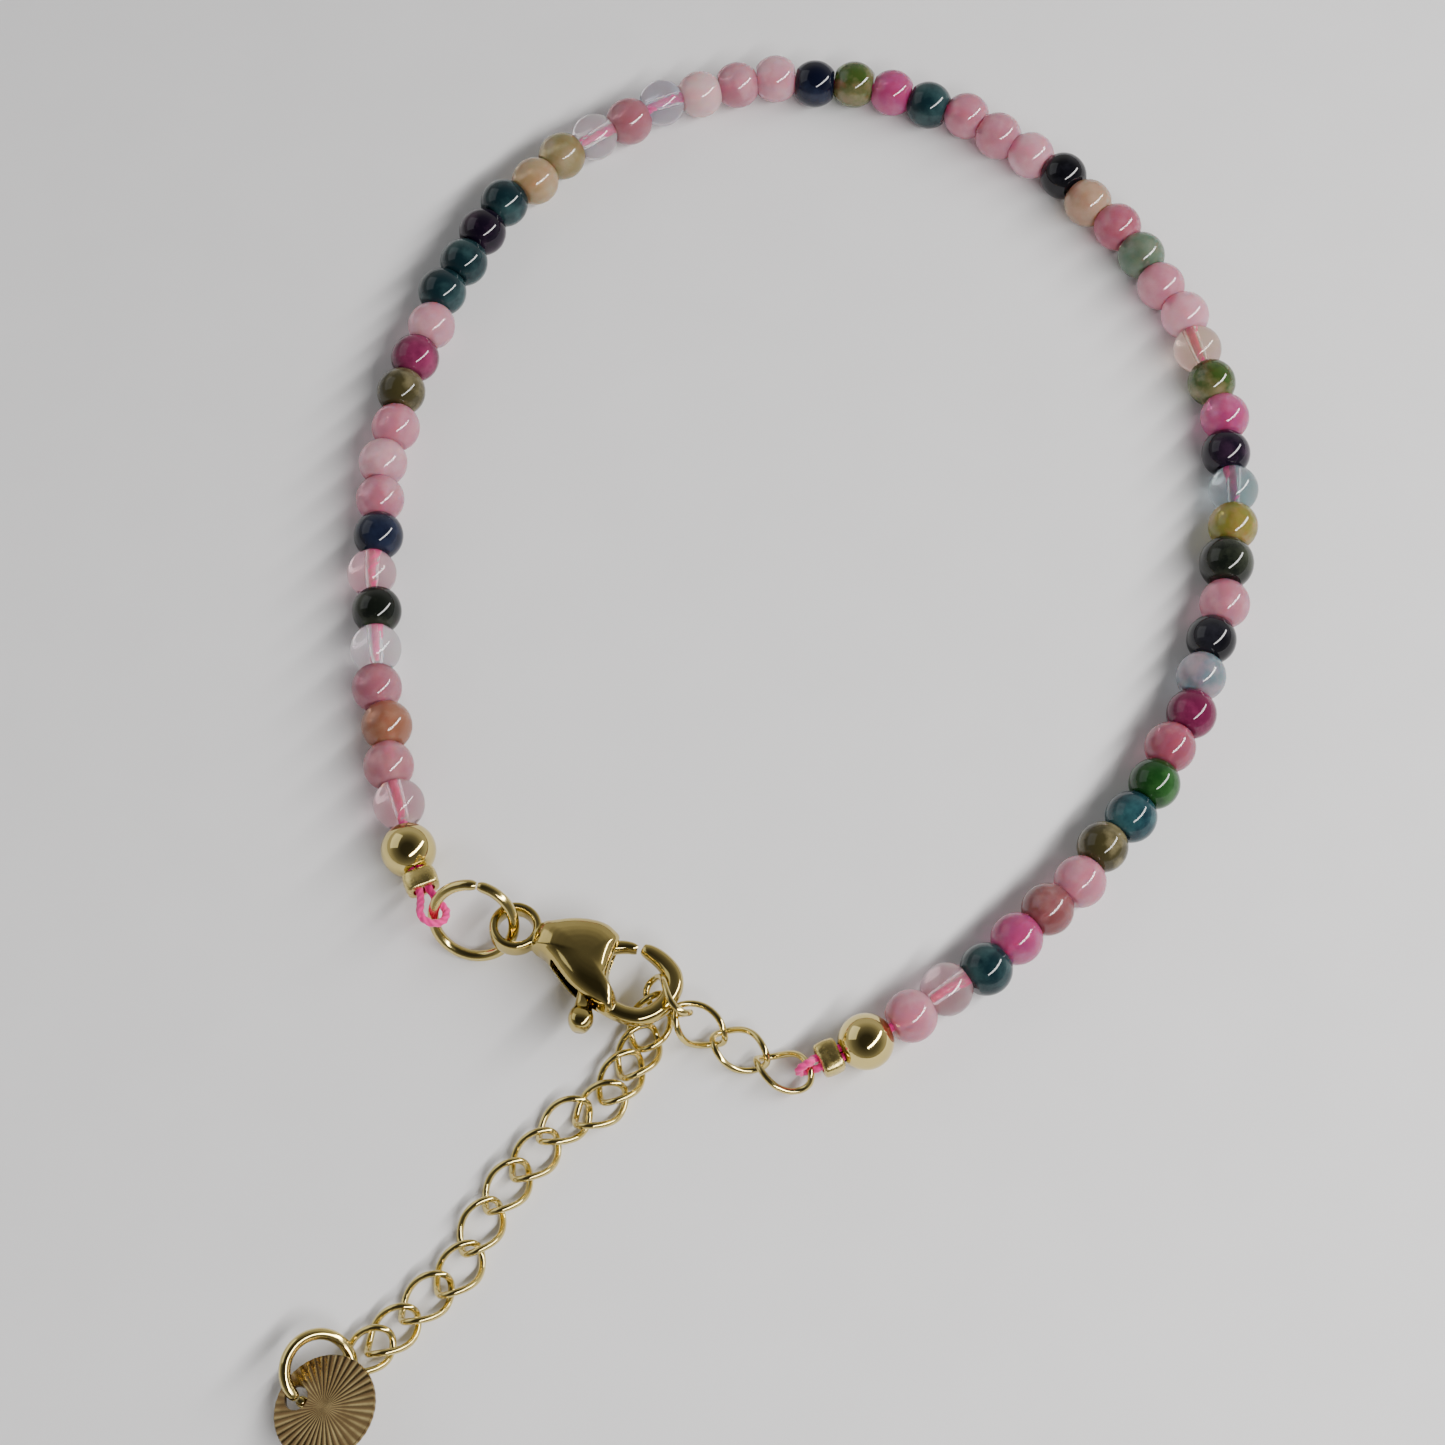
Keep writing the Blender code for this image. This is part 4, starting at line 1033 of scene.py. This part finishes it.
class BRACELET_OT_metal_beads(bpy.types.Operator):
    """Adds the two round metal beads and the two pressed crimps"""

    bl_idname = "bracelet.metal_beads"
    bl_label = "Metal beads and crimps"

    def execute(self, context):
        sizes, colours = context.scene.bracelet_sizes, context.scene.bracelet_colours
        bright = polished_gold("bead_gold", colours, roughness=0.05, unevenness=0.05, grain=0.02)
        satin = satin_gold("crimp_gold", colours)
        strands = sizes.thread_diameter + THREAD_ROOM / 2
        radius = sizes.metal_bead_diameter / 2
        for side, bead, held, _, _ in string_ends(sizes):
            way = unit(held - bead)
            along, out = drilled_ball(METAL_BEAD_LENGTH / 2, radius, strands + BEAD_BORE_ROOM, 40)
            ball = Surface().add(turned(bead, way, along, out, 64), closed_rows=True)
            finish(ball.build(f"metal_bead_{side}", bright), f"gold_bead_{side}")

            middle = bead + (METAL_BEAD_LENGTH / 2 + PIECE_GAP + CRIMP_LENGTH / 2) * way
            tube = Surface().add(self.pressed_tube(sizes, middle, way, strands), closed_rows=True)
            finish(tube.build(f"pressed_crimp_{side}", satin), f"crimp_{side}")
        return {"FINISHED"}

    @staticmethod
    def pressed_tube(sizes, middle, way, strands):
        """A rounded square carried along a short line, widest in the middle, and back inside itself:
        the outer wall swells by a cosine, its rims are rounded, and the inner wall is straight."""
        half = CRIMP_LENGTH / 2
        outer = np.linspace(-1, 1, 15)
        along = np.concatenate([[-1.0], outer * CRIMP_STRAIGHT, [1.0, 1.0, -1.0]]) * half
        swell = CRIMP_WALL + CRIMP_SWELL * np.cos(outer * math.pi / 2)
        swell[[0, -1]] -= CRIMP_ROUNDING
        wall = np.concatenate([[CRIMP_RIM], swell, [CRIMP_RIM, 0.0, 0.0]])[:, None]
        wide = strands + CRIMP_ROOM + wall
        tall = sizes.thread_diameter / 2 + CRIMP_ROOM + wall
        return ringed(middle + along[:, None] * way, *beside(way), wide, tall, 40, CRIMP_SQUARENESS)


class BRACELET_OT_rings(bpy.types.Operator):
    """Adds the two split rings"""

    bl_idname = "bracelet.rings"
    bl_label = "Split rings"

    def execute(self, context):
        sizes, colours = context.scene.bracelet_sizes, context.scene.bracelet_colours
        gold = polished_gold("ring_gold", colours, roughness=0.08, unevenness=0.08)
        charm_ring, charm_radius, _ = charm_poses(sizes)
        for name, matrix, radius in (("clasp_ring", *clasp_ring_pose(sizes)),
                                     ("charm_ring", charm_ring, charm_radius)):
            half_slit = RING_SLIT / radius / 2
            angles = np.linspace(math.pi / 2 + half_slit, 2.5 * math.pi - half_slit, 110)
            path = moved(matrix, level_circle(radius, angles))
            width = sizes.ring_wire / 2 * wire_ends(len(path))
            ring = Surface().add(carried(path, matrix[:3, 2], width, width, 20), capped=True)
            finish(ring.build(f"split_{name}", gold), name)
        return {"FINISHED"}


class BRACELET_OT_chain(bpy.types.Operator):
    """Adds the extension chain's links: round wire along twisted ovals"""

    bl_idname = "bracelet.chain"
    bl_label = "Chain"

    def execute(self, context):
        sizes, colours = context.scene.bracelet_sizes, context.scene.bracelet_colours
        gold = polished_gold("chain_gold", colours, roughness=0.08, unevenness=0.10)
        chain, width = Surface(), sizes.link_wire / 2
        poses = chain_poses(sizes)
        for matrix in poses:
            path = link_line(sizes, matrix, angles_round(64))
            chain.add(carried(path, matrix[:3, 2], width, width, 14, closed=True), closed_rows=True)
        nodes = [f"chain_link_{i + 1:02d}" for i in range(len(poses))]
        finish(chain.build("extension_chain", gold), *nodes)
        return {"FINISHED"}


class BRACELET_OT_clasp(bpy.types.Operator):
    """Adds the clasp's shell with its eye and hook, and the lever that works in its slot"""

    bl_idname = "bracelet.clasp"
    bl_label = "Clasp"

    def execute(self, context):
        sizes, colours = context.scene.bracelet_sizes, context.scene.bracelet_colours
        # Painted shade: the clasp's plating is pushed well towards the deeper tone, darker than the other
        # findings.
        gold = polished_gold("clasp_gold", colours, roughness=0.07, unevenness=0.07, grain=0.03, painted_shade=0.6)
        matrix = clasp_pose(sizes)
        pivot = shell_points(sizes, [PIVOT])[0] * MM
        pin_hole = prism(circle_outline(pivot, sizes.pin_bore * MM), -PIN_HOLE_REACH, PIN_HOLE_REACH)
        half_slot = sizes.slot_height * MM / 2
        slot = prism(shell_points(sizes, SLOT_OUTLINE) * MM, -half_slot, half_slot)
        slotted = surface_from(solid_of(self.shell(sizes), [slot]))
        arms = [self.hook(sizes), self.eye(sizes)]
        mesh = solid_of(slotted, [pin_hole], arms, CASTING_CUBE, CASTING_SOFTENING)
        finish(carry_piece("clasp_shell", mesh, matrix, gold), "clasp_body")

        mesh = solid_of(self.lever(sizes), [pin_hole])
        finish(carry_piece("clasp_gate", mesh, matrix, gold, 45), "clasp_lever", body="lever")

        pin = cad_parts["clasp_pin"]
        pin.data.materials.clear()
        pin.data.materials.append(gold)
        return {"FINISHED"}

    @staticmethod
    def shell(sizes):
        """A pillow: the smoothed outline shrinks towards its middle by a rounded law of the height,
        one less the height's share to the power, to one over the power."""
        outline = smooth_curve(shell_points(sizes, SHELL_OUTLINE) * MM, 6, closed=True)
        middle = outline.mean(axis=0)
        level = np.sin(np.linspace(-1, 1, 27) * math.pi / 2) * SHELL_TOP
        shrink = (1 - abs(level) ** SHELL_FULLNESS) ** (1 / SHELL_FULLNESS)
        grid = middle + shrink[:, None, None] * (outline - middle)
        grid[..., 2] = level[:, None] * sizes.shell_thickness * MM / 2
        return Surface().add(grid, capped=True)

    @staticmethod
    def hook(sizes):
        """A rounded oval carried along the hook's route, scaled by its shares of width and thickness."""
        line, wide, tall = station_line(sizes, HOOK_ROUTE, 6)
        return cast_arm(line, wide * sizes.hook_width, tall * sizes.hook_thickness, 2.3)

    @staticmethod
    def eye(sizes):
        """A rounded square carried round a circle."""
        path = level_circle((sizes.eye_diameter + sizes.eye_bore) * MM / 4, angles_round(64))
        ring = carried(path, [0, 0, 1], (sizes.eye_diameter - sizes.eye_bore) * MM / 4,
                       sizes.eye_thickness * MM / 2, 24, 3.0, closed=True)
        return Surface().add(ring, closed_rows=True)

    @staticmethod
    def lever(sizes):
        """A rounded square carried along the lever's route, scaled by its shares of the arm's width,
        and as tall as the arm plus its shares of what the nub is taller."""
        line, wide, more = station_line(sizes, LEVER_ROUTE, 7)
        tall = sizes.lever_height + more * (sizes.nub_height - sizes.lever_height)
        return cast_arm(line, wide * sizes.lever_width, tall, 2.6)


class BRACELET_OT_charm(bpy.types.Operator):
    """Adds the pleated charm"""

    bl_idname = "bracelet.charm"
    bl_label = "Charm"

    def execute(self, context):
        sizes = context.scene.bracelet_sizes
        look = pleated_gold("charm_gold", context.scene.bracelet_colours)
        _, _, matrix = charm_poses(sizes)
        outline = circle_outline([-sizes.charm_hole_offset * MM, 0], sizes.charm_hole * MM, 48)
        mesh = solid_of(self.disc(sizes), [prism(outline, -1, 1)])
        finish(carry_piece("pleated_charm", mesh, matrix, look, 40), "charm_disc")
        return {"FINISHED"}

    @staticmethod
    def disc(sizes):
        """Circles from the middle to the rim and back underneath: both faces rise and fall together
        by a pointed wave of the angle, times the share of the radius, and the rim is rounded."""
        angles = angles_round(6 * sizes.charm_pleats)
        wave = 2 / math.pi * np.arcsin(np.sin(sizes.charm_pleats * angles))
        half = sizes.charm_thickness * MM / 2
        share = np.linspace(0.03, 0.985, 24)
        shares = np.concatenate([share, [1.0, 1.0], share[::-1]])[:, None]
        levels = np.concatenate([np.full(24, half), [0.5 * half, -0.5 * half], np.full(24, -half)])[:, None]
        radius = shares * sizes.charm_diameter * MM / 2
        height = levels + shares * wave * sizes.charm_pleat_height * MM / 2
        grid = np.stack([radius * np.cos(angles), radius * np.sin(angles), height], -1)
        # The crest share leads the charm's painted highlights on the crests and painted shade in the
        # furrows.
        crest = np.broadcast_to((wave + 1) / 2, grid.shape[:2])
        return Surface().add(grid, capped=True, crest=crest)


class BRACELET_OT_stage(bpy.types.Operator):
    """Adds the floor, the light and the camera"""

    bl_idname = "bracelet.stage"
    bl_label = "Stage"

    def execute(self, context):
        colours = context.scene.bracelet_colours
        side = np.linspace(-0.8, 0.8, 3)
        grid = np.stack(np.broadcast_arrays(side[:, None], side[None, :], -0.00002), -1)
        floor = Surface().add(grid, closed_columns=False)
        look = Look("floor", Roughness=0.9)
        grain = look.noise(180.0, 3.0)
        shade = tuple(0.94 * value for value in colours.floor)
        look.set(Base_Color=look.mix(grain, rgba(shade), rgba(colours.floor)))
        floor.build("floor", look.material)

        self.lamp("window", (0.275, 0.130, 0.129), (0.032, -0.245, 0.218), 0.026, 1.4, (1.0, 0.98, 0.96))
        self.lamp("fill", (-0.36, -0.04, 0.22), (-0.22, 0.30, 0.22), 0.26, 0.26, (0.95, 0.97, 1.0))
        self.sky()

        camera = bpy.data.cameras.new("photo_camera")
        camera.sensor_width, camera.lens, camera.clip_start = SENSOR, SENSOR * CAMERA_FOCUS, 0.005
        viewer = bpy.data.objects.new("photo_camera", camera)
        bpy.context.scene.collection.objects.link(viewer)
        rise = math.radians(CAMERA_RISE)
        viewer.location = (LOOP_SHIFT[0], LOOP_SHIFT[1] - CAMERA_DISTANCE * math.cos(rise),
                           CAMERA_AIM + CAMERA_DISTANCE * math.sin(rise))
        viewer.rotation_euler = (math.pi / 2 - rise, 0.0, 0.0)
        bpy.context.scene.camera = viewer
        return {"FINISHED"}

    @staticmethod
    def lamp(name, first, last, width, power, colour):
        """A soft strip from the first place to the last, facing the bracelet's middle."""
        first, last = np.array(first), np.array(last)
        light = bpy.data.lights.new(name, "AREA")
        light.shape, light.size, light.size_y = "RECTANGLE", np.linalg.norm(last - first), width
        light.energy, light.color = power, colour
        lamp = bpy.data.objects.new(name, light)
        bpy.context.scene.collection.objects.link(lamp)
        place, along = (first + last) / 2, unit(last - first)
        back = unit(place - place @ along * along)
        axes = np.stack([along, np.cross(back, along), back], 1)
        matrix = np.eye(4)
        matrix[:3, :3], matrix[:3, 3] = axes, place
        lamp.matrix_world = Matrix(matrix.tolist())

    @staticmethod
    def sky():
        """A soft surround: pale at the horizon, dimmer overhead, and darkest above the viewer. The
        share along its colours is the direction's height, less a third of its way to the back."""
        world = bpy.data.worlds.new("soft_room")
        bpy.context.scene.world = world
        world.use_nodes = True
        nodes = Nodes(world.node_tree)
        way = nodes.node("ShaderNodeTexCoord", output="Generated")
        back, up = (nodes.node("ShaderNodeSeparateXYZ", None, {0: way}, axis) for axis in "YZ")
        stops = [(place, (shade, 0.97 * shade, 0.92 * shade, 1.0))
                 for place, shade in ((0.10, 0.55), (0.55, 0.19), (0.95, 0.04))]
        ramp = nodes.node("ShaderNodeValToRGB", {"stops": stops}, {0: up - back * 0.33})
        nodes.link(nodes.tree.nodes["Background"].inputs["Color"], ramp)


OPERATORS = (BRACELET_OT_stones, BRACELET_OT_thread, BRACELET_OT_metal_beads, BRACELET_OT_rings,
             BRACELET_OT_chain, BRACELET_OT_clasp, BRACELET_OT_charm, BRACELET_OT_stage)


class BRACELET_PT_pieces(bpy.types.Panel):
    """Lists the bracelet's pieces, sizes and colours"""

    bl_idname = "BRACELET_PT_pieces"
    bl_label = "Bracelet"
    bl_space_type = "VIEW_3D"
    bl_region_type = "UI"
    bl_category = "Bracelet"

    def draw(self, context):
        column = self.layout.column()
        for operator in OPERATORS:
            column.operator(operator.bl_idname)
        for group in (context.scene.bracelet_sizes, context.scene.bracelet_colours):
            for name in group.bl_rna.properties.keys():
                if name not in ("rna_type", "name"):
                    column.prop(group, name)


CLASSES = (BraceletSizes, BraceletColours, *OPERATORS, BRACELET_PT_pieces)


def register():
    for each in CLASSES:
        bpy.utils.register_class(each)
    bpy.types.Scene.bracelet_sizes = bpy.props.PointerProperty(type=BraceletSizes)
    bpy.types.Scene.bracelet_colours = bpy.props.PointerProperty(type=BraceletColours)


def unregister():
    del bpy.types.Scene.bracelet_sizes, bpy.types.Scene.bracelet_colours
    for each in reversed(CLASSES):
        bpy.utils.unregister_class(each)


def main():
    """Registers the classes and builds every piece in order."""
    register()
    for operator in OPERATORS:
        group, name = operator.bl_idname.split(".")
        getattr(getattr(bpy.ops, group), name)()


if __name__ == "__main__":
    main()
